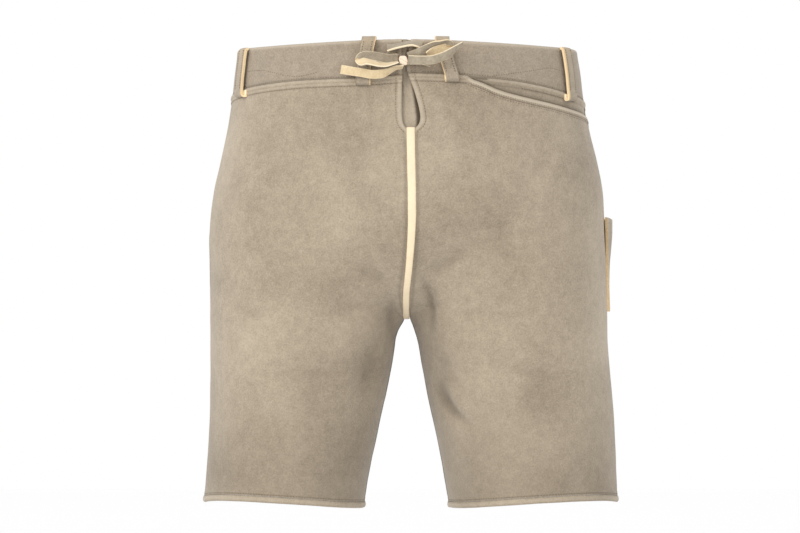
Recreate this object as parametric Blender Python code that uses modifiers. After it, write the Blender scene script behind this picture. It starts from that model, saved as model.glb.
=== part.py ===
"""Short leather trousers (lederhosen) with a laced back, hollow as worn, in Blender 4.5.

The wearer's right is +X, the wearer's front is +Y and up is +Z, so the laced back faces -Y. The origin is the
middle of the waist opening, level with the top of the waistband at the side seams. Tables are in millimetres.
"""

import math

import bmesh
import bpy
from mathutils import Vector

MM = 0.001

# Driving sizes, in millimetres
LEATHER = 1.6  # one layer of the deerskin
BAND_THICK = 2.6  # the waistband, two thin layers sewn together
POCKET_THICK = 3.0  # the knife pocket, doubled and with a thick cut edge
GAP = 0.3  # between pieces that meet or lie on each other
SEAM_S = 0.0005  # half a seam's gap, as a share of a quarter round the garment; the inseam's is wider
SEAT_DEPTH = 190.0  # below the waist: the two halves are still one tube here
CROTCH_DEPTH = 250.0  # measured down the side seam; each leg is a closed tube from here
CROTCH_Z = 283.5  # the crotch point itself, below the waist
HEM_DEPTH = 474.5  # measured down the side seam
HEM_DROP = 6.0  # how much lower the inseam's foot hangs
HEM_ARCH = 8.0  # how much higher the hem runs at the middle of the leg's back and front
SEAM_SPREAD = 4.2  # half the width that the back welt bridges at the crotch
FRONT_OPENS = 225.0  # the front halves meet down to here, and part below it for the welt's end
TORSO_ROUND = 0.87  # 1 is an ellipse, and less is squarer
LEG_ROUND = 0.94

COLUMNS = 12  # across a panel, from its centre seam to its side seam


def table(names, *rows):
    """A short table, as one list for each named column."""
    return {name: [row[i] for row in rows] for i, name in enumerate(names.split())}


# The garment's form: one row for each level, by its depth below the waist at the side seam
FORM = table(
    "depth out_left out_right back front inner",
    (-8, 179.0, 179.5, 112.0, 107.5, SEAM_SPREAD),
    (27, 183.5, 186.0, 114.5, 111.0, SEAM_SPREAD),
    (56, 186.5, 189.5, 118.0, 114.0, SEAM_SPREAD),
    (90, 192.0, 196.3, 125.5, 117.0, SEAM_SPREAD),
    (120, 198.5, 203.7, 131.5, 118.5, SEAM_SPREAD),
    (150, 205.5, 209.4, 135.5, 118.5, SEAM_SPREAD),
    (175, 209.0, 210.8, 137.0, 118.0, SEAM_SPREAD),
    (200, 210.2, 211.5, 136.5, 117.0, SEAM_SPREAD),
    (225, 209.8, 212.0, 134.5, 116.0, SEAM_SPREAD),
    (250, 209.4, 212.6, 130.0, 115.0, SEAM_SPREAD),
    (262, 209.4, 213.0, 126.5, 114.0, 7.8),
    (280, 209.4, 213.6, 121.5, 112.0, 12.4),
    (310, 209.3, 214.6, 114.0, 109.0, 17.0),
    (345, 209.3, 217.5, 108.0, 106.0, 23.0),
    (380, 209.8, 220.4, 104.0, 104.0, 29.2),
    (415, 211.4, 222.4, 101.0, 102.0, 35.7),
    (450, 213.8, 224.0, 98.5, 100.5, 41.8),
    (492, 217.0, 225.6, 96.5, 99.0, 48.0),
)

# The centre back seam wanders from the middle, and the slit in it opens like a drop
CENTRE_BACK = table(
    "depth sway slit",
    (-8, 0.0, 6.3),
    (26, -2.8, 3.8),
    (33, -1.8, 4.4),
    (55, 2.1, 7.3),
    (74, 4.7, 9.4),
    (83, 4.9, 8.4),
    (89, 3.9, 4.2),
    (91.5, 3.9, 0.0),
    (130, 4.6, 0.0),
    (164, 5.2, 0.0),
    (190, 4.9, 0.0),
    (205, 2.6, 0.0),
    (221, -0.5, 0.0),
    (250, 0.0, 0.0),
)
SLIT_FOOT = 91.5

# Lines round the garment: round is -1 at the centre back, 0 at the side seam and 1 at the centre front
BAND = table(
    "round top seam_left seam_right",
    (-1.0, -3.8, 36.0, 34.0),
    (-0.87, -2.7, 38.9, 35.2),
    (-0.755, -1.5, 39.8, 38.1),
    (-0.63, -0.4, 40.7, 41.2),
    (-0.47, 0.5, 43.0, 46.4),
    (-0.335, 0.6, 45.5, 51.2),
    (-0.15, 0.2, 49.4, 55.8),
    (0.0, 0.0, 52.4, 58.4),
    (0.5, 5.0, 55.5, 57.5),
    (1.0, 12.0, 54.0, 54.0),
)
POCKET_MOUTH = table(
    "round depth",
    (-0.818, 36.6),
    (-0.769, 41.2),
    (-0.717, 47.4),
    (-0.652, 52.2),
    (-0.556, 57.0),
    (-0.417, 62.2),
    (-0.306, 65.8),
    (-0.137, 70.0),
    (0.0, 73.8),
)

# Where the rows of a panel lie, by their depth at the centre; those above SQUEEZE close up under the band
SQUEEZE = 112.0
BACK_ROWS = (31.6, 44, 56, 66, 76, 84, 89, 92, 112, 138, 164, 190, 205, 220, 234, 243, 250, 258, 270, 292,
             325, 360, 400, 440, HEM_DEPTH)
FRONT_ROWS = (
    54, 80, 112, 138, 164, 190, 205, 220, 234, 243, 250, 258, 270, 292, 325, 360, 400, 440, HEM_DEPTH,
)

COLOURS = {
    "suede": ((0.42, 0.35, 0.27, 1.0), 0.9),
    "raw": ((0.83, 0.67, 0.42, 1.0), 0.85),
    "horn": ((0.10, 0.06, 0.035, 1.0), 0.35),
}


def read(rows, column, at, key="depth"):
    """A column's value at a place along its table, on a smooth curve through the rows."""
    xs, ys = rows[key], rows[column]
    at = min(max(at, xs[0]), xs[-1])
    i = max(k for k in range(len(xs) - 1) if xs[k] <= at)

    def slope(k):
        low, high = max(k - 1, 0), min(k + 1, len(xs) - 1)
        return (ys[high] - ys[low]) / (xs[high] - xs[low])

    width = xs[i + 1] - xs[i]
    t = (at - xs[i]) / width
    return (
        (2 * t**3 - 3 * t**2 + 1) * ys[i]
        + (t**3 - 2 * t**2 + t) * width * slope(i)
        + (3 * t**2 - 2 * t**3) * ys[i + 1]
        + (t**3 - t**2) * width * slope(i + 1)
    )


def mix(a, b, share):
    return a + (b - a) * share


def clamp(value):
    return min(max(value, 0.0), 1.0)


def curved(value, power):
    """A sine or cosine raised to a power, with its sign kept."""
    return math.copysign(abs(value) ** power, value)


def closing(depth, around):
    """0 where the halves are one tube, 1 where this is a leg; away from the seams it changes more slowly."""
    loose = 1 - abs(around) ** 4
    start, end = SEAT_DEPTH - 45 * loose, CROTCH_DEPTH + 85 * loose
    t = clamp((depth - start) / (end - start))
    sharp, soft = 1 - math.cos(t * math.pi / 2), (1 - math.cos(t * math.pi)) / 2
    return mix(soft, sharp, abs(around) ** 10)


def drop(depth):
    """How much lower a level runs at the centre seam or inseam than at the side seam."""
    if depth <= SEAT_DEPTH:
        return 0.0
    if depth <= CROTCH_DEPTH:
        turn = math.pi / 2 * (depth - SEAT_DEPTH) / (CROTCH_DEPTH - SEAT_DEPTH)
        return SEAT_DEPTH + (CROTCH_Z - SEAT_DEPTH) * math.sin(turn) - depth
    share = (depth - CROTCH_DEPTH) / (HEM_DEPTH - CROTCH_DEPTH)
    return mix(CROTCH_Z - CROTCH_DEPTH, HEM_DROP, share)


def form(half, around, depth):
    """A point of the outer surface. half is -1 for the wearer's left and 1 for the right."""
    out = read(FORM, "out_left" if half < 0 else "out_right", depth)
    deep = read(FORM, "front" if around > 0 else "back", depth)
    inner = read(FORM, "inner", depth)
    if around > 0 and depth < CROTCH_DEPTH:
        inner *= clamp((depth - FRONT_OPENS) / (CROTCH_DEPTH - FRONT_OPENS)) ** 2
    turn = around * math.pi / 2
    torso = (out * curved(math.cos(turn), TORSO_ROUND), deep * curved(math.sin(turn), TORSO_ROUND))
    turn = around * math.pi
    leg = (
        (out + inner) / 2 + (out - inner) / 2 * curved(math.cos(turn), LEG_ROUND),
        deep * curved(math.sin(turn), LEG_ROUND),
    )
    share = closing(depth, around)
    x, y = mix(torso[0], leg[0], share), mix(torso[1], leg[1], share)
    sway = read(CENTRE_BACK, "sway", depth) * abs(around) ** 6 if around < 0 else 0.0
    arch = HEM_ARCH * clamp((depth - CROTCH_Z) / (HEM_DEPTH - CROTCH_Z)) ** 2
    arch *= math.sin(math.pi * abs(around) ** 0.7) ** 2
    return Vector((half * max(x, GAP / 2) + sway, y, arch - depth - drop(depth) * abs(around) ** 3)) * MM


def outward(half, around, depth):
    """The form's outward normal at a point."""
    low, high = max(around - 0.004, -0.9995), min(around + 0.004, 0.9995)
    along = form(half, high, depth) - form(half, low, depth)
    down = form(half, around, depth + 0.5) - form(half, around, depth - 0.5)
    return (down.cross(along) * half).normalized()


def laid(half, around, depth, lift):
    """A point that lies lift millimetres off the form's surface."""
    return form(half, around, depth) + outward(half, around, depth) * lift * MM


def round_of(half, x, depth, front=False):
    """Where a point that is x millimetres from the middle lies round the upper garment."""
    out = read(FORM, "out_left" if half < 0 else "out_right", depth)
    turn = math.acos(clamp(abs(x) / out) ** (1 / TORSO_ROUND)) / (math.pi / 2)
    return turn if front else -turn


def across(x, depth, lift, front=False):
    """A point x millimetres from the middle of the waist, to either side of it, lift off the surface."""
    half = 1 if x >= 0 else -1
    return laid(half, round_of(half, max(abs(x), 0.3), depth, front), depth, lift)


def centre_inset(depth):
    """How far a panel's edge keeps from its centre seam or inseam, as a share of a quarter round."""
    return SEAM_S * (1 + 2.2 * clamp((depth - SEAT_DEPTH) / (CROTCH_DEPTH - SEAT_DEPTH)))


def slit_edge(half, depth):
    """Where the slit's edge lies round the garment, or the centre seam below the slit's foot."""
    if depth >= SLIT_FOOT:
        return -1 + centre_inset(depth)
    return max(round_of(half, read(CENTRE_BACK, "slit", depth), depth), -1 + SEAM_S)


def material(name):
    made = bpy.data.materials.get(name)
    if made is None:
        made = bpy.data.materials.new(name)
        made.use_nodes = True
        shader = made.node_tree.nodes["Principled BSDF"]
        colour, rough = COLOURS[name]
        shader.inputs["Base Color"].default_value = colour
        shader.inputs["Roughness"].default_value = rough
        shader.inputs["Metallic"].default_value = 0.0
    return made


def place(obj, finish):
    obj.data.materials.append(material(finish))
    garment.objects.link(obj)
    return obj


def sheet(name, grid, thick, finish, ring=False, side=-1.0):
    """A wall of leather on a grid of points, closed if ring; side is -1 inwards, 0 middle, 1 outwards."""
    mesh = bpy.data.meshes.new(name)
    shape = bmesh.new()
    rows = [[shape.verts.new(point) for point in row] for row in grid]
    for upper, lower in zip(rows, rows[1:]):
        pairs = list(zip(upper, lower))
        for left, right in zip(pairs, pairs[1:] + pairs[:1] if ring else pairs[1:]):
            shape.faces.new((left[0], left[1], right[1], right[0]))
    shape.normal_update()
    shape.to_mesh(mesh)
    shape.free()
    mesh.shade_smooth()
    obj = place(bpy.data.objects.new(name, mesh), finish)
    wall = obj.modifiers.new("wall", "SOLIDIFY")
    wall.thickness = thick * MM
    wall.offset = side
    return obj


def facing_out(grid, half):
    """The grid with its rows turned so that the faces look outwards on either half."""
    return [row[::-1] for row in grid] if half < 0 else grid


def band_top(around):
    """The upper edge of the waistband."""
    return read(BAND, "top", around, "round")


def band_seam(half, around):
    """The seam under the waistband."""
    return read(BAND, "seam_left" if half < 0 else "seam_right", around, "round")


def panel_top(half, around, is_back):
    """The upper edge of a panel, at a place round the garment."""
    if is_back and half > 0 and around > POCKET_MOUTH["round"][0]:
        return read(POCKET_MOUTH, "depth", around, "round")
    return band_seam(half, around) + GAP / 2


def panel_grid(half, is_back):
    """Points of a quarter of the garment, from under the waistband to the hem."""
    levels = BACK_ROWS if is_back else FRONT_ROWS
    grid = []
    for level in levels:
        row = []
        for column in range(COLUMNS + 1):
            share = column / COLUMNS
            rough = share - 1 if is_back else 1 - share
            depth = level
            if level < SQUEEZE:
                closed_up = (SQUEEZE - level) / (SQUEEZE - levels[0])
                depth = SQUEEZE - closed_up * (SQUEEZE - panel_top(half, rough, is_back))
            if is_back:
                around = mix(slit_edge(half, depth), -SEAM_S, share)
            else:
                around = mix(1 - centre_inset(depth), SEAM_S, share)
            row.append(form(half, around, depth))
        grid.append(row)
    return facing_out(grid, half) if is_back else facing_out(grid, -half)


def waistband_grid(half):
    """Three rows from the slit at the centre back, round the side, to the centre front."""
    columns = 26
    grid = []
    for share in (0.0, 0.5, 1.0):
        row = []
        for column in range(columns + 1):
            rough = mix(-1.0, 1.0, column / columns)
            top = band_top(rough)
            seam = band_seam(half, rough) - GAP / 2
            depth = mix(top, seam, share)
            edge = slit_edge(half, depth)
            around = mix(edge, 1 - SEAM_S, column / columns)
            row.append(laid(half, around, depth, 0.0))
        grid.append(row)
    return facing_out(grid, half)


def pocket_facing_grid():
    """The leather above the back pocket's mouth: level with the band at its top, tucked behind the panel."""
    tuck, slope, lap = 15.0, 13.0, 1.5
    behind = -(LEATHER + GAP + 0.2)
    grid = []
    for row_share in (0.0, 0.25, 0.5, 0.75, 1.0):
        row = []
        for column in range(2, COLUMNS + 1):
            around = mix(-1 + SEAM_S, -SEAM_S, column / COLUMNS)
            mouth = read(POCKET_MOUTH, "depth", around, "round")
            top = band_seam(1, around) + GAP / 2
            depth = mix(top, mouth + tuck, row_share)
            row.append(laid(1, around, depth, behind * (1 - clamp((mouth - lap - depth) / slope))))
        grid.append(row)
    return facing_out(grid, 1)


def gusset_grid():
    """The tongue behind the slit, pinched into upright pleats where the lace draws the band together."""
    wide, top, foot, columns, pleat_deep = 23.0, -3.6, 104.0, 16, 1.3
    behind = -(BAND_THICK + GAP + 0.3)
    grid = []
    for row_share in (0.0, 0.15, 0.3, 0.5, 0.75, 1.0):
        row = []
        for column in range(columns + 1):
            x = mix(-wide, wide, column / columns) + 0.05
            pleat = pleat_deep * (1 - row_share) ** 1.5 * (1 - math.cos(column * math.pi / 2))
            row.append(across(x, mix(top, foot, row_share), behind - pleat))
        grid.append(row)
    return grid


def welt_grid():
    """The light strip on the centre back seam, from the slit's foot under the crotch to the front."""
    stations = [(-1, depth) for depth in (88, 112, 138, 164, 190, 205, 220, 232, 241, 247)]
    stations += [(0, CROTCH_DEPTH), (1, 247), (1, 241), (1, 232)]
    spine = []
    for side, depth in stations:
        around = -1 + SEAM_S if side <= 0 else 1 - SEAM_S
        left, right = form(-1, around, depth), form(1, around, depth)
        spine.append((left + right) / 2)
    grid = []
    for i, point in enumerate(spine):
        ahead = spine[min(i + 1, len(spine) - 1)] - spine[max(i - 1, 0)]
        away = Vector((0, ahead.z, -ahead.y)).normalized()
        spread = clamp((stations[i][1] - SEAT_DEPTH + 15) / 40)
        lift = mix(GAP + 0.1, 2.3, spread) * MM
        half_width = mix(4.5, 3.5, spread) * MM
        grid.append([point + away * lift + Vector((x * half_width, 0, 0)) for x in (-1, 0, 1)])
    return grid


def hem_grid(half):
    """The turned hem: a band round the foot of the leg, a little proud of it."""
    columns, proud = 4 * COLUMNS, 1.5
    grid = []
    for below in (1.5 * GAP, 3.7, 6.9):
        row = [form(half, mix(-1.0, 1.0, column / columns), HEM_DEPTH + below) for column in range(columns)]
        middle = sum(row, Vector()) / columns
        flat = [Vector((point.x - middle.x, point.y - middle.y, 0)).normalized() for point in row]
        grid.append([point + way * proud * MM for point, way in zip(row, flat)])
    return facing_out(grid, half)


# How a belt loop stands off the band: down clear of it, and turned under at the foot. The two at the back
# start over the band's upper edge, and the two at the sides just under it.
# share is of the way from the band's top to its seam, and past is added below that
LOOP_OVER_EDGE = ((0.0, -3.2, -1.2), (0.0, -3.3, 2.6), (0.0, 0.4, 5.6))
LOOP_UNDER_EDGE = ((0.0, 0.3, 3.4), (0.0, 1.0, 4.6), (0.0, 2.4, 5.8))
LOOP_REST = (
    (0.12, 0.0, 6.4),
    (0.5, 0.0, 6.5),
    (0.88, 0.0, 6.4),
    (1.0, 2.6, 5.9),
    (1.0, 5.6, 3.6),
    (1.0, 4.0, 0.5),
    (1.0, -1.5, 0.4),
)
LOOP_WIDE, LOOP_THICK = 14.5, 2.6

# Each belt loop's place round the band, at its top and at its foot, and how it starts
BELT_LOOPS = {
    "belt_loop_side_left": (-1, -0.255, -0.256, LOOP_UNDER_EDGE),
    "belt_loop_back_left": (-1, -0.891, -0.875, LOOP_OVER_EDGE),
    "belt_loop_back_right": (1, -0.898, -0.870, LOOP_OVER_EDGE),
    "belt_loop_side_right": (1, -0.305, -0.309, LOOP_UNDER_EDGE),
}


def belt_loop_grid(half, top_round, foot_round, start):
    """A strip that follows its path between two places round the band."""
    grid = []
    for share, past, lift in start + LOOP_REST:
        middle = mix(top_round, foot_round, share)
        depth = mix(band_top(middle), band_seam(half, middle), share) + past
        run = (form(half, middle + 0.01, depth) - form(half, middle - 0.01, depth)).length / 0.02 / MM
        row = [laid(half, middle + way * LOOP_WIDE / 2 / run, depth, lift) for way in (-1, 0, 1)]
        grid.append(row)
    return facing_out(grid, half)


def knife_pocket_grid():
    """A narrow patch on the right side seam: its edges lie on the leg, and its mouth gapes between them."""
    top, foot, rear, fore = 178.0, 278.0, -0.04, 0.125
    gapes = (5.9, 5.6, 4.2, 2.2, 1.0, 0.5, 0.0)
    columns = 8
    grid = []
    for i, gape in enumerate(gapes):
        row = []
        for column in range(columns + 1):
            share = column / columns
            bow = math.sin(math.pi * share)
            depth = mix(top, foot, i / (len(gapes) - 1)) + (3.0 * bow if i == 0 else 0.0)
            row.append(laid(1, mix(rear, fore, share), depth, GAP + 0.25 + gape * bow**0.8))
        grid.append(row)
    return facing_out(grid, 1)


FLAP_TOP_WIDE, FLAP_FOOT_WIDE, FLAP_FOOT = 80.0, 72.0, 168.0


def flap_grid():
    """The plain drop front: an apron with rounded lower corners over the centre front."""
    columns, corner = 12, 26.0
    grid = []
    for share in (0.0, 0.1, 0.3, 0.5, 0.7, 0.85, 0.95, 1.0):
        rounding = 1 - math.sqrt(1 - clamp((share - 0.82) / 0.19) ** 2)
        wide = mix(FLAP_TOP_WIDE, FLAP_FOOT_WIDE, share) - corner * rounding
        row = []
        for column in range(columns + 1):
            x = mix(-wide, wide, column / columns) + 0.05
            half = 1 if x >= 0 else -1
            top = band_top(round_of(half, abs(x), 8.0, True)) + 1.5
            row.append(across(x, mix(top, FLAP_FOOT, share), GAP + 0.3, True))
        grid.append(row[::-1])
    return grid


def primitive(name):
    """Take the primitive that was just added into the garment's own collection, under its own name."""
    obj = bpy.context.active_object
    for owner in list(obj.users_collection):
        owner.objects.unlink(obj)
    obj.name = name
    return obj


def button(name, x, depth):
    """A horn button: a flat disc with a rounded rim, lying on the flap."""
    radius, thick = 10.5, 4.0
    half = 1 if x > 0 else -1
    normal = outward(half, round_of(half, abs(x), depth, True), depth)
    bpy.ops.mesh.primitive_cylinder_add(vertices=28, radius=radius * MM, depth=thick * MM)
    obj = primitive(name)
    obj.location = across(x, depth, GAP + 0.3 + LEATHER + 0.6 + thick / 2, True)
    obj.rotation_mode = "QUATERNION"
    obj.rotation_quaternion = normal.to_track_quat("Z", "Y")
    rim = obj.modifiers.new("rim", "BEVEL")
    rim.width = 1.1 * MM
    rim.segments = 2
    rim.limit_method = "ANGLE"
    return place(obj, "horn")


# The lace is a flat thong. x is from the middle, lift is from the band's surface, and turn is 0 where the
# thong's width stands upright against the band and 90 where it stands out from it
LACE_WIDE, LACE_THICK = 9.0, 1.4
LACE = {
    "lace_bridge": table(
        "x depth lift turn",
        (-19.0, 6.5, 3.6, -35), (-14.0, 5.4, 4.3, -46), (-4.9, 3.4, 4.7, -52), (5.0, 1.6, 4.7, -52),
        (11.3, 2.4, 4.3, -46), (16.4, 4.1, 3.6, -35),
    ),
    "lace_feed_left": table(
        "x depth lift turn",
        (-19.4, 14.9, 1.2, 0), (-13.2, 15.5, 2.4, 0), (-7.5, 16.9, 3.4, 0),
    ),
    "lace_feed_right": table(
        "x depth lift turn",
        (26.8, 20.6, 1.2, 0), (19.6, 18.7, 2.2, 0), (12.9, 17.8, 3.0, 0), (5.0, 18.7, 3.2, 0),
    ),
    "lace_loop_left": table(
        "x depth lift turn",
        (-7.0, 17.5, 7.2, 10), (-12.9, 18.1, 8.6, 8), (-20.3, 17.7, 9.8, 6), (-27.7, 16.3, 10.8, 6),
        (-34.9, 15.3, 11.6, 8), (-42.1, 15.4, 12.2, 12), (-47.1, 17.1, 13.0, 20), (-49.2, 20.1, 14.6, 8),
        (-46.6, 22.5, 16.8, -20), (-40.4, 22.3, 18.0, -45), (-34.1, 23.3, 18.2, -52),
        (-26.9, 25.3, 17.8, -56),
        (-19.7, 25.8, 17.0, -60), (-12.5, 24.0, 15.2, -66), (-7.1, 22.5, 14.0, -75),
    ),
    "lace_tail_left": table(
        "x depth lift turn",
        (-1.5, 26.3, 7.0, 80), (-5.5, 26.9, 7.6, 80), (-9.8, 27.9, 8.4, 76), (-16.7, 31.3, 10.0, 62),
        (-22.5, 33.6, 11.0, 38), (-28.9, 34.6, 11.4, 14), (-36.1, 34.4, 11.2, 4), (-44.2, 32.7, 10.8, 0),
        (-53.1, 31.1, 10.2, 0), (-61.3, 29.5, 9.6, 0), (-65.3, 28.8, 9.2, 0),
    ),
    "lace_loop_right": table(
        "x depth lift turn",
        (3.9, 15.7, 6.6, 8), (10.3, 13.0, 8.2, 14), (16.2, 10.4, 9.8, 20), (22.0, 7.1, 11.4, 34),
        (27.9, 3.9, 12.6, 52), (33.8, 2.1, 13.4, 64), (39.5, 2.8, 14.0, 62), (43.3, 6.1, 14.0, 64),
        (42.1, 9.5, 13.4, 70), (37.3, 11.5, 12.6, 78), (29.3, 13.5, 12.2, 80), (21.7, 14.8, 10.8, 80),
    ),
    "lace_tail_right": table(
        "x depth lift turn",
        (3.9, 19.5, 10.0, 0), (12.4, 20.2, 12.6, 0), (20.1, 20.5, 14.8, 2), (26.8, 20.3, 16.4, 8),
        (33.5, 18.2, 17.4, 14), (40.1, 15.1, 17.8, 24), (47.7, 10.2, 17.4, 36), (55.8, 4.6, 16.2, 46),
    ),
}


def lace_grid(rows):
    """The thong's upper edge, middle and lower edge, on a smooth curve through the route's rows."""
    steps = 3
    last = len(rows["x"]) - 1
    route = {**rows, "step": list(range(last + 1))}
    places = []
    for i in range(last * steps + 1):
        columns = ("x", "depth", "lift", "turn")
        x, depth, lift, turn = (read(route, column, i / steps, "step") for column in columns)
        places.append((across(x, depth, lift), across(x, depth, lift + 1), math.radians(turn)))
    grid = []
    for i, (point, further, turn) in enumerate(places):
        ahead = (places[min(i + 1, len(places) - 1)][0] - places[max(i - 1, 0)][0]).normalized()
        away = (further - point).normalized()
        away = (away - ahead * away.dot(ahead)).normalized()
        upright = ahead.cross(away).normalized()
        if upright.z < 0:
            upright.negate()
        edge = (upright * math.cos(turn) + away * math.sin(turn)) * LACE_WIDE / 2 * MM
        grid.append([point + edge, point, point - edge])
    return grid


def knot():
    """The bow's knot: a small block with well rounded edges."""
    bpy.ops.mesh.primitive_cube_add(size=MM)
    obj = primitive("lace_knot")
    obj.scale = (8.2, 7.0, 9.5)
    obj.data.transform(obj.matrix_basis.to_3x3().to_4x4())
    obj.scale = (1.0, 1.0, 1.0)
    obj.location = across(-1.1, 19.8, 7.8)
    rim = obj.modifiers.new("rim", "BEVEL")
    rim.width = 2.0 * MM
    rim.segments = 2
    return place(obj, "raw")


for old in list(bpy.data.objects):
    bpy.data.objects.remove(old)
garment = bpy.data.collections.new("leather_trousers")
bpy.context.scene.collection.children.link(garment)

for side_name, half in (("left", -1), ("right", 1)):
    sheet(f"back_{side_name}", panel_grid(half, True), LEATHER, "suede")
    sheet(f"front_{side_name}", panel_grid(half, False), LEATHER, "suede")
    sheet(f"waistband_{side_name}", waistband_grid(half), BAND_THICK, "suede")
    sheet(f"hem_{side_name}", hem_grid(half), 2.4, "suede", ring=True)
sheet("back_gusset", gusset_grid(), LEATHER, "suede")
sheet("back_welt", welt_grid(), LEATHER, "raw", side=1.0)
sheet("back_pocket_facing", pocket_facing_grid(), LEATHER, "suede")
for loop_name, loop_place in BELT_LOOPS.items():
    sheet(loop_name, belt_loop_grid(*loop_place), LOOP_THICK, "suede")
sheet("knife_pocket", knife_pocket_grid(), POCKET_THICK, "suede", side=1.0)
sheet("front_flap", flap_grid(), LEATHER, "suede", side=1.0)
button("front_button_left", -66.0, 24.0)
button("front_button_right", 66.0, 24.0)
for lace_name, route_rows in LACE.items():
    sheet(lace_name, lace_grid(route_rows), LACE_THICK, "raw", side=0.0)
knot()
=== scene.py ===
# %% [markdown]
# Short leather trousers, seen from their laced back. They are shown as worn but empty, so the whole garment
# is a hollow shell of brushed deerskin. Every visible piece is laid on one smooth form: a waist that splits
# into two legs. The form comes from a short table of sections, and each cell below cuts one piece out of
# it.

# %% Load the fixed frame
import math

import bmesh
import bpy
import numpy as np
from mathutils import Matrix, Vector, noise


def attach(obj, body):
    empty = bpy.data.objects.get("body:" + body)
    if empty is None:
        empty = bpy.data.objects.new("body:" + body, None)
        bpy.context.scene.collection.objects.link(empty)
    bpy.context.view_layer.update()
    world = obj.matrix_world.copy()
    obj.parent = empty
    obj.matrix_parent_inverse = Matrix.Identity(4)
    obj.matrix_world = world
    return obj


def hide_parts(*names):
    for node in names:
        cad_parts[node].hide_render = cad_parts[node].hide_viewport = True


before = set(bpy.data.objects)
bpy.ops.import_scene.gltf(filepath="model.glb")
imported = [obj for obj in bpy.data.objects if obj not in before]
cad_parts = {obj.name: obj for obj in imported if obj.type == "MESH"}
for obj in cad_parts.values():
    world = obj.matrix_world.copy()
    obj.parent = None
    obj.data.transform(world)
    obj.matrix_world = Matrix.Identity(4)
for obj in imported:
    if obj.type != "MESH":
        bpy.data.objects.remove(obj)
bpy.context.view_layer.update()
MM = 0.001

# %% [markdown]
# The camera comes first. It stands level with the middle of the garment and far away behind a long lens, so
# the sides hardly converge. The studio is a wide white floor under a white sky, lit by a large soft light
# from the upper left, with a weaker one from the right to keep the shaded side open.

# %% Camera
CAMERA_AWAY, CAMERA_HEIGHT, CAMERA_LEFT = 2.8, -0.230, -0.007
VIEW_WIDE = 0.856  # metres that the view takes in from side to side, at the garment's middle
camera_data = bpy.data.cameras.new("camera")
camera_data.sensor_width = 36.0
camera_data.lens = camera_data.sensor_width * CAMERA_AWAY / VIEW_WIDE
camera_data.clip_end = 50.0
camera = bpy.data.objects.new("camera", camera_data)
camera.location = (CAMERA_LEFT, -CAMERA_AWAY, CAMERA_HEIGHT)
camera.rotation_euler = (math.radians(90), 0, 0)
bpy.context.scene.collection.objects.link(camera)
bpy.context.scene.camera = camera
bpy.context.scene.view_settings.view_transform = "Standard"
print("lens", round(camera_data.lens, 1), "mm")


# %% White floor and soft lights
def plain_material(name, colour, rough):
    made = bpy.data.materials.new(name)
    made.use_nodes = True
    shader = made.node_tree.nodes["Principled BSDF"]
    shader.inputs["Base Color"].default_value = (*colour, 1.0)
    shader.inputs["Roughness"].default_value = rough
    return made


def soft_light(name, place, aim, size, power):
    """A square area light of a given size in metres that looks from one point at another."""
    data = bpy.data.lights.new(name, "AREA")
    data.shape = "SQUARE"
    data.size = size
    data.energy = power
    lamp = bpy.data.objects.new(name, data)
    lamp.location = place
    lamp.rotation_euler = (Vector(aim) - Vector(place)).to_track_quat("-Z", "Y").to_euler()
    bpy.context.scene.collection.objects.link(lamp)


bpy.ops.object.select_all(action="DESELECT")
bpy.ops.mesh.primitive_plane_add(size=14.0, location=(0, 1.0, -1.15))
floor = bpy.context.active_object
floor.name = "studio_floor"
floor.data.materials.append(plain_material("studio_white", (0.985, 0.985, 0.985), 0.9))
world = bpy.data.worlds.new("studio_world")
world.use_nodes = True
world.node_tree.nodes["Background"].inputs["Color"].default_value = (1.0, 1.0, 1.0, 1.0)
world.node_tree.nodes["Background"].inputs["Strength"].default_value = 1.0
bpy.context.scene.world = world
MIDDLE = (0.0, 0.0, -0.25)
soft_light("key_upper_left", (-1.9, -2.3, 1.3), MIDDLE, 1.5, 40.0)
soft_light("fill_right", (2.2, -2.2, 0.3), MIDDLE, 2.0, 4.0)

# %% [markdown]
# The form. `around` runs from -1 at the centre back, past 0 at the side seam, to 1 at the centre front.
# Above the crotch a half is half of a rounded ellipse, below it a whole tube, and `closing` turns one into
# the other while `drop` lowers the centre seam into its J-shaped curve. Everything is in millimetres until
# the last step, and the functions take whole arrays of points, which is quicker than asking for one point
# at a time.

# %% Driving sizes and section tables, in millimetres
SEAM_S = 0.0005
GAP = 0.3  # between pieces that lie on each other
HIDE_THICK, BAND_THICK, HEM_THICK, WELT_THICK = 1.6, 2.6, 1.3, 1.4
SEAT_DEPTH, CROTCH_DEPTH, CROTCH_Z = 190.0, 250.0, 283.5
HEM_DEPTH, HEM_DROP, HEM_ARCH = 474.5, 6.0, 8.0
SEAM_SPREAD, FRONT_OPENS = 4.2, 225.0
TORSO_ROUND, LEG_ROUND = 0.87, 0.94
SLIT_FOOT, SQUEEZE = 91.5, 112.0


def table(names, *rows):
    """A short table, as one array for each named column."""
    return {name: np.array([row[i] for row in rows], float) for i, name in enumerate(names.split())}


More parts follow.
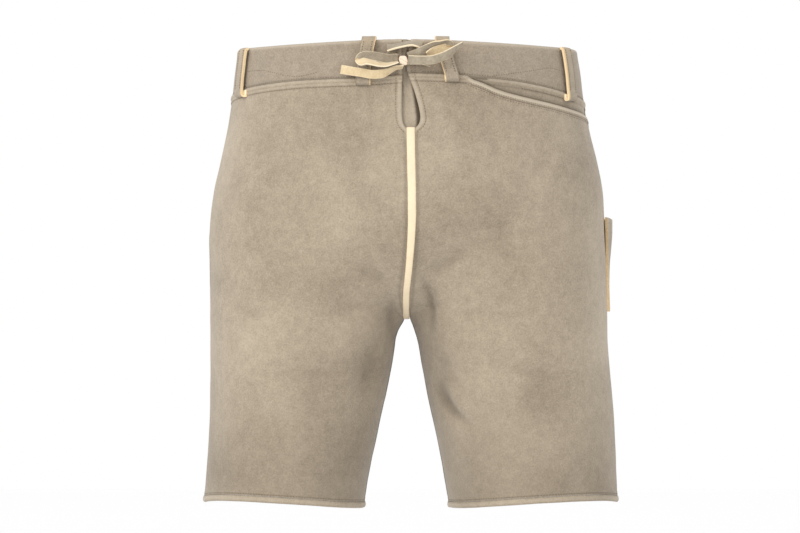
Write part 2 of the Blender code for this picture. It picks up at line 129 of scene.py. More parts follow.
FORM = table(
    "depth out_left out_right back front inner",
    (-8, 179.0, 179.5, 112.0, 107.5, SEAM_SPREAD), (27, 183.5, 186.0, 114.5, 111.0, SEAM_SPREAD),
    (56, 186.5, 189.5, 118.0, 114.0, SEAM_SPREAD), (90, 192.0, 196.3, 125.5, 117.0, SEAM_SPREAD),
    (120, 198.5, 203.7, 131.5, 118.5, SEAM_SPREAD), (150, 205.5, 209.4, 135.5, 118.5, SEAM_SPREAD),
    (175, 209.0, 210.8, 137.0, 118.0, SEAM_SPREAD), (200, 210.2, 211.5, 136.5, 117.0, SEAM_SPREAD),
    (225, 209.8, 212.0, 134.5, 116.0, SEAM_SPREAD), (250, 209.4, 212.6, 130.0, 115.0, SEAM_SPREAD),
    (262, 209.4, 213.0, 126.5, 114.0, 7.8), (280, 209.4, 213.6, 121.5, 112.0, 12.4),
    (310, 209.3, 214.6, 114.0, 109.0, 17.0), (345, 209.3, 217.5, 108.0, 106.0, 23.0),
    (380, 209.8, 220.4, 104.0, 104.0, 29.2), (415, 211.4, 222.4, 101.0, 102.0, 35.7),
    (450, 213.8, 224.0, 98.5, 100.5, 41.8), (492, 217.0, 225.6, 96.5, 99.0, 48.0),
)
CENTRE_BACK = table(
    "depth sway slit",
    (-8, 0.0, 5.0), (14, -2.2, 3.2), (26, -2.4, 2.2), (33, -1.6, 3.2), (55, 2.1, 7.3), (74, 4.7, 9.4),
    (83, 4.9, 8.4), (89, 3.9, 4.2), (91.5, 3.9, 0.0), (130, 4.6, 0.0), (164, 5.2, 0.0), (190, 4.9, 0.0),
    (205, 2.6, 0.0), (221, -0.5, 0.0), (250, 0.0, 0.0),
)
BAND = table(
    "round top seam_left seam_right",
    (-1.0, -3.8, 36.0, 34.0), (-0.87, -2.7, 38.9, 35.2), (-0.755, -1.5, 39.8, 38.1),
    (-0.63, -0.4, 40.7, 41.2), (-0.47, 0.5, 43.0, 46.4), (-0.335, 0.6, 45.5, 51.2),
    (-0.15, 0.2, 49.4, 55.8), (0.0, 0.0, 52.4, 58.4), (0.5, 5.0, 55.5, 57.5), (1.0, 12.0, 54.0, 54.0),
)
POCKET_MOUTH = table(
    "round depth",
    (-0.818, 36.6), (-0.769, 41.2), (-0.717, 47.4), (-0.652, 52.2), (-0.556, 57.0), (-0.417, 62.2),
    (-0.306, 65.8), (-0.137, 70.0), (0.0, 73.8),
)


def read(rows, column, at, key="depth"):
    """A column's value along its table, on a smooth curve through the rows."""
    xs, ys = rows[key], rows[column]
    at = np.clip(np.asarray(at, float), xs[0], xs[-1])
    i = np.clip(np.searchsorted(xs, at, side="right") - 1, 0, len(xs) - 2)
    low, high = np.maximum(np.arange(len(xs)) - 1, 0), np.minimum(np.arange(len(xs)) + 1, len(xs) - 1)
    slope = (ys[high] - ys[low]) / (xs[high] - xs[low])
    width = xs[i + 1] - xs[i]
    t = (at - xs[i]) / width
    return (
        (2 * t**3 - 3 * t**2 + 1) * ys[i]
        + (t**3 - 2 * t**2 + t) * width * slope[i]
        + (3 * t**2 - 2 * t**3) * ys[i + 1]
        + (t**3 - t**2) * width * slope[i + 1]
    )


# %% The form and its normals
def mix(a, b, share):
    return a + (b - a) * share


def clamp(value):
    return np.clip(value, 0.0, 1.0)


def ease(value):
    """A soft step: 0 below 0, 1 above 1."""
    t = clamp(value)
    return t * t * (3 - 2 * t)


def hump(distance, at, wide):
    """A bell curve: 1 at one distance, and nearly 0 from twice its width away."""
    return np.exp(-(((distance - at) / wide) ** 2))


def curved(value, power):
    """A power that keeps the sign, so that a circle's sine and cosine give a squarer or rounder outline."""
    return np.sign(value) * np.abs(value) ** power


def closing(depth, around):
    """0 where the two halves share one waist, 1 where this half is a leg of its own."""
    loose = 1 - np.abs(around) ** 4
    start, end = SEAT_DEPTH - 45 * loose, CROTCH_DEPTH + 85 * loose
    t = clamp((depth - start) / (end - start))
    sharp, soft = 1 - np.cos(t * math.pi / 2), (1 - np.cos(t * math.pi)) / 2
    return mix(soft, sharp, np.abs(around) ** 10)


def drop(depth):
    """How far below its own depth a row hangs at the centre seam."""
    turn = math.pi / 2 * clamp((depth - SEAT_DEPTH) / (CROTCH_DEPTH - SEAT_DEPTH))
    seat = SEAT_DEPTH + (CROTCH_Z - SEAT_DEPTH) * np.sin(turn) - depth
    leg = mix(CROTCH_Z - CROTCH_DEPTH, HEM_DROP, (depth - CROTCH_DEPTH) / (HEM_DEPTH - CROTCH_DEPTH))
    return np.where(depth <= SEAT_DEPTH, 0.0, np.where(depth <= CROTCH_DEPTH, seat, leg))


def form(half, around, depth):
    """Points of the outer surface. half is -1 for the wearer's left and 1 for the right."""
    around, depth = np.broadcast_arrays(np.asarray(around, float), np.asarray(depth, float))
    out = read(FORM, "out_left" if half < 0 else "out_right", depth)
    deep = np.where(around > 0, read(FORM, "front", depth), read(FORM, "back", depth))
    opened = np.where((around > 0) & (depth < CROTCH_DEPTH), 0.0, 1.0)
    near = clamp((depth - FRONT_OPENS) / (CROTCH_DEPTH - FRONT_OPENS)) ** 2
    inner = read(FORM, "inner", depth) * np.maximum(opened, near)
    turn = around * math.pi / 2
    torso_x, torso_y = out * curved(np.cos(turn), TORSO_ROUND), deep * curved(np.sin(turn), TORSO_ROUND)
    turn = around * math.pi
    leg_x = (out + inner) / 2 + (out - inner) / 2 * curved(np.cos(turn), LEG_ROUND)
    leg_y = deep * curved(np.sin(turn), LEG_ROUND)
    share = closing(depth, around)
    x, y = mix(torso_x, leg_x, share), mix(torso_y, leg_y, share)
    sway = np.where(around < 0, read(CENTRE_BACK, "sway", depth) * np.abs(around) ** 6, 0.0)
    arch = HEM_ARCH * clamp((depth - CROTCH_Z) / (HEM_DEPTH - CROTCH_Z)) ** 2
    arch = arch * np.sin(math.pi * np.abs(around) ** 0.7) ** 2
    z = arch - depth - drop(depth) * np.abs(around) ** 3
    return np.stack([half * np.maximum(x, GAP / 2) + sway, y, z], axis=-1)


def unit(vectors):
    return vectors / np.maximum(np.linalg.norm(vectors, axis=-1, keepdims=True), 1e-9)


def outward(half, around, depth):
    """The form's normals."""
    low, high = np.maximum(around - 0.004, -0.9995), np.minimum(around + 0.004, 0.9995)
    along = form(half, high, depth) - form(half, low, depth)
    down = form(half, around, depth + 0.5) - form(half, around, depth - 0.5)
    return unit(np.cross(down, along) * half)


def run_of(half, around, depth):
    """How many millimetres one unit of `around` is worth here."""
    step = form(half, around + 0.003, depth) - form(half, around - 0.003, depth)
    return np.linalg.norm(step, axis=-1) / 0.006


def round_of(half, x, depth, front=False):
    """The place round the garment that lies x millimetres to the side of the middle."""
    out = read(FORM, "out_left" if half < 0 else "out_right", depth)
    turn = np.arccos(clamp(np.abs(x) / out) ** (1 / TORSO_ROUND)) / (math.pi / 2)
    return turn if front else -turn


def slit_edge(half, depth):
    """Where the slit's edge lies, or below its foot the centre seam."""
    inset = SEAM_S * (1 + 2.2 * clamp((depth - SEAT_DEPTH) / (CROTCH_DEPTH - SEAT_DEPTH)))
    slit = np.maximum(round_of(half, read(CENTRE_BACK, "slit", depth), depth), -1 + SEAM_S)
    return np.where(depth >= SLIT_FOOT, -1 + inset, slit)


def band_top(around):
    return read(BAND, "top", around, "round")


def band_seam(half, around):
    return read(BAND, "seam_left" if half < 0 else "seam_right", around, "round")


print("waist half widths", form(-1, 0.0, 0.0).round(1), form(1, 0.0, 0.0).round(1))

# %% [markdown]
# Brushed deerskin has no weave. What the eye reads is a cloudy change of tone, finer blotches where the nap
# lies one way or the other, and a very short fuzz. These three scales are one node group, read from object
# coordinates so that they run on from piece to piece, and each finish takes its colours and depth from it.

# %% Node group: the clouded nap of a brushed hide
def node(tree, kind, place, **values):
    made = tree.nodes.new(kind)
    made.location = place
    for name, value in values.items():
        setattr(made, name, value)
    return made


def noise_node(tree, place, scale, detail, rough, distortion=0.0):
    made = node(tree, "ShaderNodeTexNoise", place)
    made.inputs["Scale"].default_value = scale
    made.inputs["Detail"].default_value = detail
    made.inputs["Roughness"].default_value = rough
    made.inputs["Distortion"].default_value = distortion
    return made


def math_node(tree, place, operation, first, second):
    made = node(tree, "ShaderNodeMath", place, operation=operation)
    for socket, value in zip(made.inputs, (first, second)):
        if isinstance(value, (int, float)):
            socket.default_value = value
        else:
            tree.links.new(value, socket)
    return made.outputs[0]


nap = bpy.data.node_groups.new("clouded_nap", "ShaderNodeTree")
nap.interface.new_socket("Clouds", in_out="INPUT", socket_type="NodeSocketFloat").default_value = 0.5
nap.interface.new_socket("Blotches", in_out="INPUT", socket_type="NodeSocketFloat").default_value = 0.3
nap.interface.new_socket("Fuzz", in_out="INPUT", socket_type="NodeSocketFloat").default_value = 0.2
nap.interface.new_socket("Tone", in_out="OUTPUT", socket_type="NodeSocketFloat")
nap.interface.new_socket("Height", in_out="OUTPUT", socket_type="NodeSocketFloat")
given = node(nap, "NodeGroupInput", (-900, 0))
result = node(nap, "NodeGroupOutput", (700, 0))
where = node(nap, "ShaderNodeTexCoord", (-900, -300))
scales = (
    ("Clouds", noise_node(nap, (-600, 300), 11.0, 3.0, 0.5, 0.3)),
    ("Blotches", noise_node(nap, (-600, 0), 120.0, 5.0, 0.62, 0.2)),
    ("Fuzz", noise_node(nap, (-600, -300), 620.0, 3.0, 0.7)),
)
total = 0.5
for row, (name, pattern) in enumerate(scales):
    nap.links.new(where.outputs["Object"], pattern.inputs["Vector"])
    centred = math_node(nap, (-380, 300 - 300 * row), "SUBTRACT", pattern.outputs["Fac"], 0.5)
    share = math_node(nap, (-180, 300 - 300 * row), "MULTIPLY", centred, given.outputs[name])
    total = math_node(nap, (60 + 160 * row, 200 - 100 * row), "ADD", total, share)
nap.links.new(total, result.inputs["Tone"])
fine = math_node(nap, (-180, -500), "MULTIPLY", scales[2][1].outputs["Fac"], 0.6)
coarse = math_node(nap, (-180, -650), "MULTIPLY", scales[1][1].outputs["Fac"], 0.8)
nap.links.new(math_node(nap, (60, -560), "ADD", fine, coarse), result.inputs["Height"])
print("group", nap.name, [item.name for item in nap.interface.items_tree])


# %% Leather finishes
def srgb(*channels):
    """A colour as it is seen on a screen, 0 to 255, as the shader wants it."""
    return tuple((c / 255 / 12.92 if c <= 10 else ((c / 255 + 0.055) / 1.055) ** 2.4) for c in channels)


def leather(name, dark, light, clouds, blotches, fuzz, bump, sheen, worn=None, shaded=None):
    """A matt hide between two tones. worn is what rubbed folds turn to, shaded the painted shade of grooves and
    gaps.
    """
    made = bpy.data.materials.new(name)
    made.use_nodes = True
    tree = made.node_tree
    shader = tree.nodes["Principled BSDF"]
    group = node(tree, "ShaderNodeGroup", (-900, 100), node_tree=nap)
    group.inputs["Clouds"].default_value = clouds
    group.inputs["Blotches"].default_value = blotches
    group.inputs["Fuzz"].default_value = fuzz
    ramp = node(tree, "ShaderNodeValToRGB", (-680, 200))
    ramp.color_ramp.elements[0].position = 0.22
    ramp.color_ramp.elements[0].color = (*dark, 1.0)
    ramp.color_ramp.elements[1].position = 0.78
    ramp.color_ramp.elements[1].color = (*light, 1.0)
    tree.links.new(group.outputs["Tone"], ramp.inputs["Fac"])
    colour = ramp.outputs["Color"]
    # Positive values of this point attribute blend in the worn tint, negative ones the painted shade tint.
    wear_and_shade = node(tree, "ShaderNodeAttribute", (-900, -250), attribute_name="wear_and_shade")
    for sign, tint in ((1.0, worn), (-1.0, shaded)):
        if tint is None:
            continue
        amount = math_node(tree, (-640, -200 - 160 * sign), "MULTIPLY", wear_and_shade.outputs["Fac"], sign)
        blend = node(tree, "ShaderNodeMix", (-380, 100 * sign), data_type="RGBA", clamp_factor=True)
        tree.links.new(amount, blend.inputs["Factor"])
        tree.links.new(colour, blend.inputs["A"])
        blend.inputs["B"].default_value = (*tint, 1.0)
        colour = blend.outputs["Result"]
    tree.links.new(colour, shader.inputs["Base Color"])
    rough = node(tree, "ShaderNodeMapRange", (-380, -350))
    rough.inputs["To Min"].default_value = 0.95
    rough.inputs["To Max"].default_value = 0.78
    tree.links.new(group.outputs["Tone"], rough.inputs["Value"])
    tree.links.new(rough.outputs["Result"], shader.inputs["Roughness"])
    relief = node(tree, "ShaderNodeBump", (-180, -300))
    relief.inputs["Strength"].default_value = 1.0
    relief.inputs["Distance"].default_value = bump
    tree.links.new(group.outputs["Height"], relief.inputs["Height"])
    tree.links.new(relief.outputs["Normal"], shader.inputs["Normal"])
    shader.inputs["Specular IOR Level"].default_value = 0.25
    shader.inputs["Sheen Weight"].default_value = sheen
    shader.inputs["Sheen Roughness"].default_value = 0.6
    return made


suede = leather("brushed_deerskin", srgb(122, 109, 91), srgb(188, 173, 151), 0.5, 0.3, 0.6, 0.0007, 0.2,
                worn=srgb(196, 183, 162), shaded=srgb(84, 72, 56))
band_suede = leather("waistband_deerskin", srgb(118, 105, 89), srgb(180, 166, 146), 0.3, 0.26, 0.6, 0.0007, 0.2,
                     worn=srgb(190, 177, 157), shaded=srgb(80, 69, 54))
loop_suede = leather("belt_loop_deerskin", srgb(124, 111, 94), srgb(188, 174, 153), 0.3, 0.3, 0.6, 0.0007, 0.2,
                     worn=srgb(222, 190, 144), shaded=srgb(80, 69, 54))
raw = leather("cream_cut_edge", srgb(206, 182, 144), srgb(240, 220, 184), 0.5, 0.7, 0.5, 0.0003, 0.15,
              worn=srgb(242, 226, 196), shaded=srgb(166, 140, 102))
lace_suede = leather("lace_deerskin", srgb(138, 126, 108), srgb(188, 175, 152), 0.8, 0.8, 0.5, 0.0003, 0.2,
                     worn=srgb(246, 228, 192), shaded=srgb(100, 87, 70))
knot_hide = leather("knot_deerskin", srgb(226, 200, 172), srgb(250, 230, 206), 0.5, 0.7, 0.5, 0.0003, 0.15,
                    worn=srgb(252, 238, 218), shaded=srgb(178, 146, 120))
loop_raw = leather("belt_loop_cut_edge", srgb(208, 180, 138), srgb(242, 216, 176), 0.5, 0.8, 0.6, 0.0003, 0.1,
                   worn=srgb(244, 218, 174), shaded=srgb(160, 130, 92))
flesh = leather("cream_flesh_side", srgb(200, 176, 136), srgb(234, 214, 176), 0.6, 0.9, 0.6, 0.0004, 0.2,
                worn=srgb(248, 234, 204), shaded=srgb(170, 146, 108))
thread = leather("waxed_thread", srgb(92, 78, 60), srgb(130, 114, 92), 0.3, 0.5, 0.3, 0.0001, 0.0)
print("finishes", [m.name for m in bpy.data.materials if m.users or m.use_nodes])

# %% [markdown]
# A piece of hide starts as Blender's grid primitive, with one vertex for each place in a list of columns
# and rows. A function then says where each place lies, the wall gets its thickness from Solidify, and a
# point attribute marks rubbed folds with positive values and paints shade into stitched grooves, seams,
# creases and gaps with negative ones.


# %% Helpers that make a wall of hide
def spaced(length, step, edges=(10.0, 10.0), edge_step=0.9):
    """Places from 0 to 1 along a length in millimetres, closer together within the two edge widths."""
    places = list(np.arange(0, edges[0], edge_step))
    middle = length - edges[0] - edges[1]
    places += list(edges[0] + np.linspace(0, middle, max(int(middle / step), 2), endpoint=False))
    places += list(length - edges[1] + np.linspace(0, edges[1], max(int(edges[1] / edge_step), 1) + 1))
    return np.array(places) / length


def hide(name, columns, rows, place, thick, finishes, half=1, side=-1.0, ring=False):
    """A wall through the points that place(columns, rows) gives, in millimetres, with its wear and painted
    shade.
    """
    bpy.ops.object.select_all(action="DESELECT")
    wide, tall = len(columns) - 1, len(rows) - 1
    bpy.ops.mesh.primitive_grid_add(x_subdivisions=wide, y_subdivisions=tall, size=2.0)
    piece = bpy.context.active_object
    piece.name = name
    mesh = piece.data
    flat = np.empty(len(mesh.vertices) * 3)
    mesh.vertices.foreach_get("co", flat)
    flat = flat.reshape(-1, 3)
    column = np.rint((flat[:, 0] + 1) / 2 * wide).astype(int)
    row = np.rint((1 - flat[:, 1]) / 2 * tall).astype(int)
    points, wear_and_shade = place(columns[None, :], rows[:, None])
    points = np.broadcast_to(points, (tall + 1, wide + 1, 3))[row, column]
    mesh.vertices.foreach_set("co", (points * MM).ravel())
    mark = mesh.attributes.new("wear_and_shade", "FLOAT", "POINT")
    mark.data.foreach_set("value", np.broadcast_to(wear_and_shade, (tall + 1, wide + 1))[row, column].ravel())
    if half < 0:
        mesh.flip_normals()
    if ring:
        shape = bmesh.new()
        shape.from_mesh(mesh)
        bmesh.ops.remove_doubles(shape, verts=shape.verts, dist=0.00002)
        shape.to_mesh(mesh)
        shape.free()
    for finish in finishes:
        mesh.materials.append(finish)
    wall = piece.modifiers.new("wall", "SOLIDIFY")
    wall.thickness = thick * MM
    wall.offset = side
    wall.material_offset = 1 if len(finishes) > 1 else 0
    wall.material_offset_rim = len(finishes) - 1
    bpy.ops.object.modifier_apply(modifier="wall")
    bpy.ops.object.shade_smooth_by_angle(angle=math.radians(50))
    return piece


def wobble(points, size, seed):
    """A smooth, repeatable noise between about -1 and 1, whose lumps are `size` millimetres across."""
    flat = points.reshape(-1, 3) / size
    values = [noise.noise(Vector((p[0] + seed, p[1], p[2]))) for p in flat]
    return np.array(values).reshape(points.shape[:-1])


def stand_for(piece, node_name):
    """The piece takes the place of one node of the fixed model."""
    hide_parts(node_name)
    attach(piece, "root")
    print(piece.name, len(piece.data.polygons), "faces")


def settle(piece, node_name):
    """The same for a sheet of hide."""
    stand_for(piece, node_name)


# %% [markdown]
# A worn hide keeps soft folds where the body bends it: they fan out from the crotch, cross the inner thighs
# and hang from the waist. Each is a trough with a low ridge beside it, drawn between three points seen from
# behind or from the front, in millimetres. The hidden front gets folds of the same kind.

# %% Main folds
FOLDS = table(
    "half front x0 z0 x1 z1 x2 z2 wide deep",
    (-1, 0, -14, -262, -17, -282, -13, -306, 6, 3.0), (-1, 0, -16, -250, -34, -240, -62, -226, 9, 2.2),
    (-1, 0, -20, -272, -52, -268, -96, -286, 10, 1.5), (-1, 0, -30, -300, -42, -330, -44, -376, 11, 2.4),
    (-1, 0, -60, -345, -92, -338, -128, -352, 12, 1.6),
    (-1, 0, -190, -262, -168, -276, -140, -282, 11, 1.8), (-1, 0, -60, -60, -84, -92, -92, -132, 12, 1.3),
    (-1, 0, -150, -68, -146, -104, -128, -140, 13, 1.2),
    (-1, 0, -120, -420, -128, -445, -126, -470, 14, 0.9), (1, 0, 14, -240, 30, -262, 24, -300, 4.5, 3.6),
    (1, 0, 20, -238, 44, -226, 74, -204, 9, 2.2), (1, 0, 22, -276, 60, -280, 102, -268, 10, 1.2),
    (1, 0, 33, -348, 36, -380, 72, -396, 6, 3.4), (1, 0, 34, -312, 44, -340, 46, -380, 11, 2.2),
    (1, 0, 96, -330, 132, -346, 168, -340, 12, 1.6), (1, 0, 70, -64, 92, -100, 96, -140, 12, 1.4),
    (1, 0, 160, -96, 140, -128, 118, -146, 11, 1.5), (1, 0, 138, -410, 132, -440, 136, -470, 14, 0.9),
    (-1, 1, -12, -270, -30, -244, -70, -222, 9, 2.6), (-1, 1, -24, -290, -62, -276, -110, -282, 10, 2.2),
    (-1, 1, -40, -330, -60, -352, -74, -392, 11, 1.8), (-1, 1, -150, -90, -136, -124, -112, -150, 12, 1.4),
    (1, 1, 12, -268, 34, -240, 66, -212, 9, 2.4), (1, 1, 26, -286, 70, -278, 118, -292, 10, 2.4),
    (1, 1, 44, -334, 60, -362, 66, -404, 11, 1.8), (1, 1, 154, -84, 138, -118, 120, -152, 12, 1.4),
)


def fold_relief(points, half, is_front):
    """How far the folds push the hide in (negative) or out at each point."""
    relief = np.zeros(points.shape[:-1])
    for i in range(len(FOLDS["half"])):
        fold = {name: FOLDS[name][i] for name in FOLDS}
        if fold["half"] != half or bool(fold["front"]) != is_front:
            continue
        t = np.linspace(0, 1, 25)[:, None]
        start, bend, end = (np.array([fold["x" + k], fold["z" + k]]) for k in "012")
        line = (1 - t) ** 2 * start + 2 * t * (1 - t) * bend + t**2 * end
        away = points[..., None, [0, 2]] - line
        far = np.linalg.norm(away, axis=-1)
        near = far.argmin(axis=-1)
        ahead = np.gradient(line, axis=0)[near]
        offset = np.take_along_axis(away, near[..., None, None], axis=-2)[..., 0, :]
        side = np.sign(ahead[..., 0] * offset[..., 1] - ahead[..., 1] * offset[..., 0])
        signed = side * far.min(axis=-1) / fold["wide"]
        fade = np.sin(math.pi * (0.04 + 0.92 * near / 24)) ** 0.8
        relief += fade * fold["deep"] * (0.5 * hump(signed, 1.7, 1) - hump(signed, 0, 1))
    return relief


# %% [markdown]
# The legs are darkened with painted shade, as the light falls off lower down. A plain fade does that here: it
# starts a little below the crotch and is strongest at the hems. The nap's own clouds break it up.

# %% Painted shade darkens the legs towards the hems
FADE_FROM, FADE_TO, FADE_AMOUNT = 300.0, 500.0, -0.3


def hem_painted_shade(points):
    """How much painted shade darkens the hide at points given in millimetres: none above the legs, most at the
    hems.
    """
    return FADE_AMOUNT * ease((-points[..., 2] - FADE_FROM) / (FADE_TO - FADE_FROM))


# %% [markdown]
# The edges tell how the garment is sewn. The panels' upper edge is folded in and stitched down over the
# band, so it stands proud as a rounded welt with a stitched groove under it. The slit and the pocket mouth
# are turned in the same way, only flatter.


# %% Profiles of the turned edges, by the distance from the edge in millimetres
LAP, LAP_HIGH, LAP_STITCH = 2.4, 1.7, 7.7
LIP_HIGH, LIP_STITCH = 0.6, 5.4
SIDE_FOLD = -0.072


def lapped(d):
    """The panels' upper edge over the band: (relief, wear with painted shade in the grooves)."""
    relief = mix(LAP_HIGH, 0.75, ease((d - 2.0) / 2.6)) * (1 - ease((d - 6.6) / 3.6))
    relief = relief - 0.6 * clamp(1 - d / 0.9) ** 2 + 0.25 * hump(d, 5.6, 1.1)
    groove = hump(d, LAP_STITCH, 0.7)
    ridges = hump(d, 1.9, 1.3) + 0.7 * hump(d, 5.4, 1.0)
    return relief - 0.3 * groove, 0.3 * ridges - 0.45 * groove - 0.15 * hump(d, 3.8, 0.6)


def lipped(d):
    """A turned and stitched free edge: (relief, wear with painted shade in the stitched groove)."""
    relief = LIP_HIGH * (1 - ease((d - LIP_STITCH + 1.6) / 3.0)) - 0.5 * clamp(1 - d / 0.9) ** 2
    groove = hump(d, LIP_STITCH, 0.7)
    return relief - 0.2 * groove, 0.42 * hump(d, 2.2, 2.0) - 0.3 * groove


def mouth_share(around):
    """1 where a panel's upper edge is the back pocket's mouth, 0 where it is sewn over the band."""
    return ease((around - POCKET_MOUTH["round"][0] + 0.012) / 0.03)


def panel_top(half, around, is_front):
    seam = band_seam(half, around) + GAP / 2
    if is_front or half < 0:
        return seam - LAP
    mouth = read(POCKET_MOUTH, "depth", around, "round")
    return np.where(around > POCKET_MOUTH["round"][0], mouth - LAP * (1 - mouth_share(around)), seam - LAP)


def panel_surface(half, around, depth, is_front):
    """Points of a panel's finished face and its wear with painted shade, for any places on it."""
    around, depth = np.broadcast_arrays(np.asarray(around, float), np.asarray(depth, float))
    base, normal, run = form(half, around, depth), outward(half, around, depth), run_of(half, around, depth)
    # The upper edge, which on the right of the back is also the pocket's mouth.
    from_top = np.maximum(depth - panel_top(half, around, is_front), 0.0)
    relief, wear_and_shade = lapped(from_top)
    if half > 0 and not is_front:
        lip, lip_wear_and_shade = lipped(from_top)
        share = mouth_share(around)
        relief, wear_and_shade = mix(relief, lip, share), mix(wear_and_shade, 1.9 * lip_wear_and_shade, share)
    # The slit, and below its foot the groove beside the welt, with painted shade that is darkest towards the
    # crotch. In front, the plain centre seam, with a line of painted shade.
    if not is_front:
        open_share = ease((SLIT_FOOT + 14 - depth) / 16)
        lip, lip_wear_and_shade = lipped(np.maximum(around - slit_edge(half, depth), 0) * run)
        relief = np.maximum(relief, lip * open_share) + np.minimum(lip, 0) * open_share
        wear_and_shade = wear_and_shade + lip_wear_and_shade * open_share * ease((from_top - 2) / 4)
        by_welt = (around - slit_edge(half, depth)) * run
        relief = relief + (1 - open_share) * 0.5 * hump(by_welt, 0, 5.0)
        wear_and_shade = wear_and_shade - (1 - open_share) * 0.35 * hump(by_welt, 5.0, 1.6)
        wear_and_shade = wear_and_shade - 0.9 * hump(by_welt, 0, 4.5) * ease((depth - 232) / 14)
    if is_front:
        wear_and_shade = wear_and_shade - 0.6 * hump((1 - around) * run, 0, 1.1)
    # The side seam with a line of painted shade, and one long crease beside it on the left of the back,
    # darkened with painted shade.
    from_side = np.abs(around) * run
    relief = relief - 0.7 * hump(from_side, 0, 1.1) + 0.3 * hump(from_side, 3.2, 1.8)
    wear_and_shade = wear_and_shade - 0.7 * hump(from_side, 0, 1.0)
    if half < 0 and not is_front:
        along = ease((depth - 140) / 30) * ease((290 - depth) / 60)
        crease = hump((around - SIDE_FOLD) * run, 0, 1.4)
        relief, wear_and_shade = relief - 1.5 * along * crease, wear_and_shade - 0.9 * along * crease
    # The hem's stitched groove, then the waves and folds of the open hide between the seams. The groove and the
    # deep fold troughs get painted shade.
    from_hem = HEM_DEPTH - depth
    groove = hump(from_hem, 1.7, 0.7)
    relief = relief + 0.4 * (1 - ease((from_hem - 2) / 4)) - 0.25 * groove
    wear_and_shade = wear_and_shade - 0.25 * groove
    loose = ease(from_top / 14) * ease(from_hem / 12) * ease(from_side / 8)
    waves = 0.9 * wobble(base, 62.0, 3.0) + 0.35 * wobble(base, 21.0, 9.0)
    folds = fold_relief(base, half, is_front)
    relief = relief + loose * (waves + folds)
    return base + normal * relief[..., None], wear_and_shade + hem_painted_shade(base) - 0.5 * loose * clamp((-folds - 0.8) / 3)


# %% The four panels
BACK_TOP_LEVEL, FRONT_TOP_LEVEL = 31.6, 54.0


def panel_places(half, is_front, columns, rows):
    """Turns a panel's own columns and rows into places round the garment and depths."""
    first = FRONT_TOP_LEVEL if is_front else BACK_TOP_LEVEL
    level = mix(first, HEM_DEPTH, rows)
    rough = columns if is_front else columns - 1
    closed_up = clamp((SQUEEZE - level) / (SQUEEZE - first))
    top = panel_top(half, rough, is_front)
    depth = np.where(level < SQUEEZE, SQUEEZE - closed_up * (SQUEEZE - top), level)
    inset = SEAM_S * (1 + 2.2 * clamp((depth - SEAT_DEPTH) / (CROTCH_DEPTH - SEAT_DEPTH)))
    if is_front:
        return mix(SEAM_S, 1 - 0.25 * inset, columns), depth
    return mix(slit_edge(half, depth), -SEAM_S, columns), depth


for half, side_name in ((-1, "left"), (1, "right")):
    for is_front, face in ((False, "back"), (True, "front")):
        columns = spaced(285.0, 3.0, (6.0, 12.0) if is_front else (12.0, 6.0))
        rows = spaced(440.0, 3.0, (12.0, 8.0))

        def place(c, r, half=half, is_front=is_front):
            return panel_surface(half, *panel_places(half, is_front, c, r), is_front)

        panel = hide(f"{face}_{side_name}_hide", columns, rows, place, HIDE_THICK, (suede,), half)
        settle(panel, f"{face}_{side_name}")

# %% [markdown]
# The waistband is two layers of hide in two halves. Its upper edge is a fold, so it is rounded, and towards
# the slit the lace pulls it into small upright puckers.

# %% Waistband halves
def band_surface(half, around, depth):
    around, depth = np.broadcast_arrays(np.asarray(around, float), np.asarray(depth, float))
    base, normal, run = form(half, around, depth), outward(half, around, depth), run_of(half, around, depth)
    from_top = depth - band_top(around)
    from_slit = np.maximum(around - slit_edge(half, depth), 0) * run
    relief = -1.1 * clamp(1 - from_top / 1.6) ** 2 - 0.9 * clamp(1 - from_slit / 1.4) ** 2
    relief = relief + 0.35 * hump(from_top, 3.0, 2.4)
    pull = np.exp(-from_slit / 26.0)
    relief = relief + 0.55 * pull * np.sin(from_slit * 0.55 + 0.06 * depth) * clamp(from_slit / 4)
    free = ease(from_top / 5)
    relief = relief + free * (0.45 * wobble(base, 38.0, 5.0) + 0.15 * wobble(base, 12.0, 8.0))
    wear_and_shade = 0.6 * hump(from_top, 1.5, 1.6) + 0.5 * hump(from_slit, 1.2, 1.4)
    # Painted shade on the band just under the panels' lapped edge.
    below = np.exp(-(band_seam(half, around) - LAP - depth) / 1.6)
    return base + normal * relief[..., None], wear_and_shade - 0.6 * clamp(below)


for half, side_name in ((-1, "left"), (1, "right")):

    def place(c, r, half=half):
        rough = mix(-1.0, 1.0, c)
        depth = mix(band_top(rough), band_seam(half, rough) - GAP / 2, r)
        return band_surface(half, mix(slit_edge(half, depth), 1 - SEAM_S, c), depth)

    columns, rows = spaced(470.0, 2.2, (10.0, 3.0)), spaced(48.0, 1.8, (4.0, 2.0), 0.6)
    band = hide(f"waistband_{side_name}_hide", columns, rows, place, BAND_THICK, (band_suede,), half)
    settle(band, f"waistband_{side_name}")

# %% [markdown]
# Each hem is the leg's edge turned up once and stitched, so it is a flattened roll with an open back. The
# rows of its grid run round that roll: down the outside, under the fold and up again inside.

# %% Hems
def laid(half, around, depth, lift):
    """A point `lift` millimetres off the form."""
    lift = np.asarray(lift, float)[..., None]
    return form(half, around, depth) + outward(half, around, depth) * lift


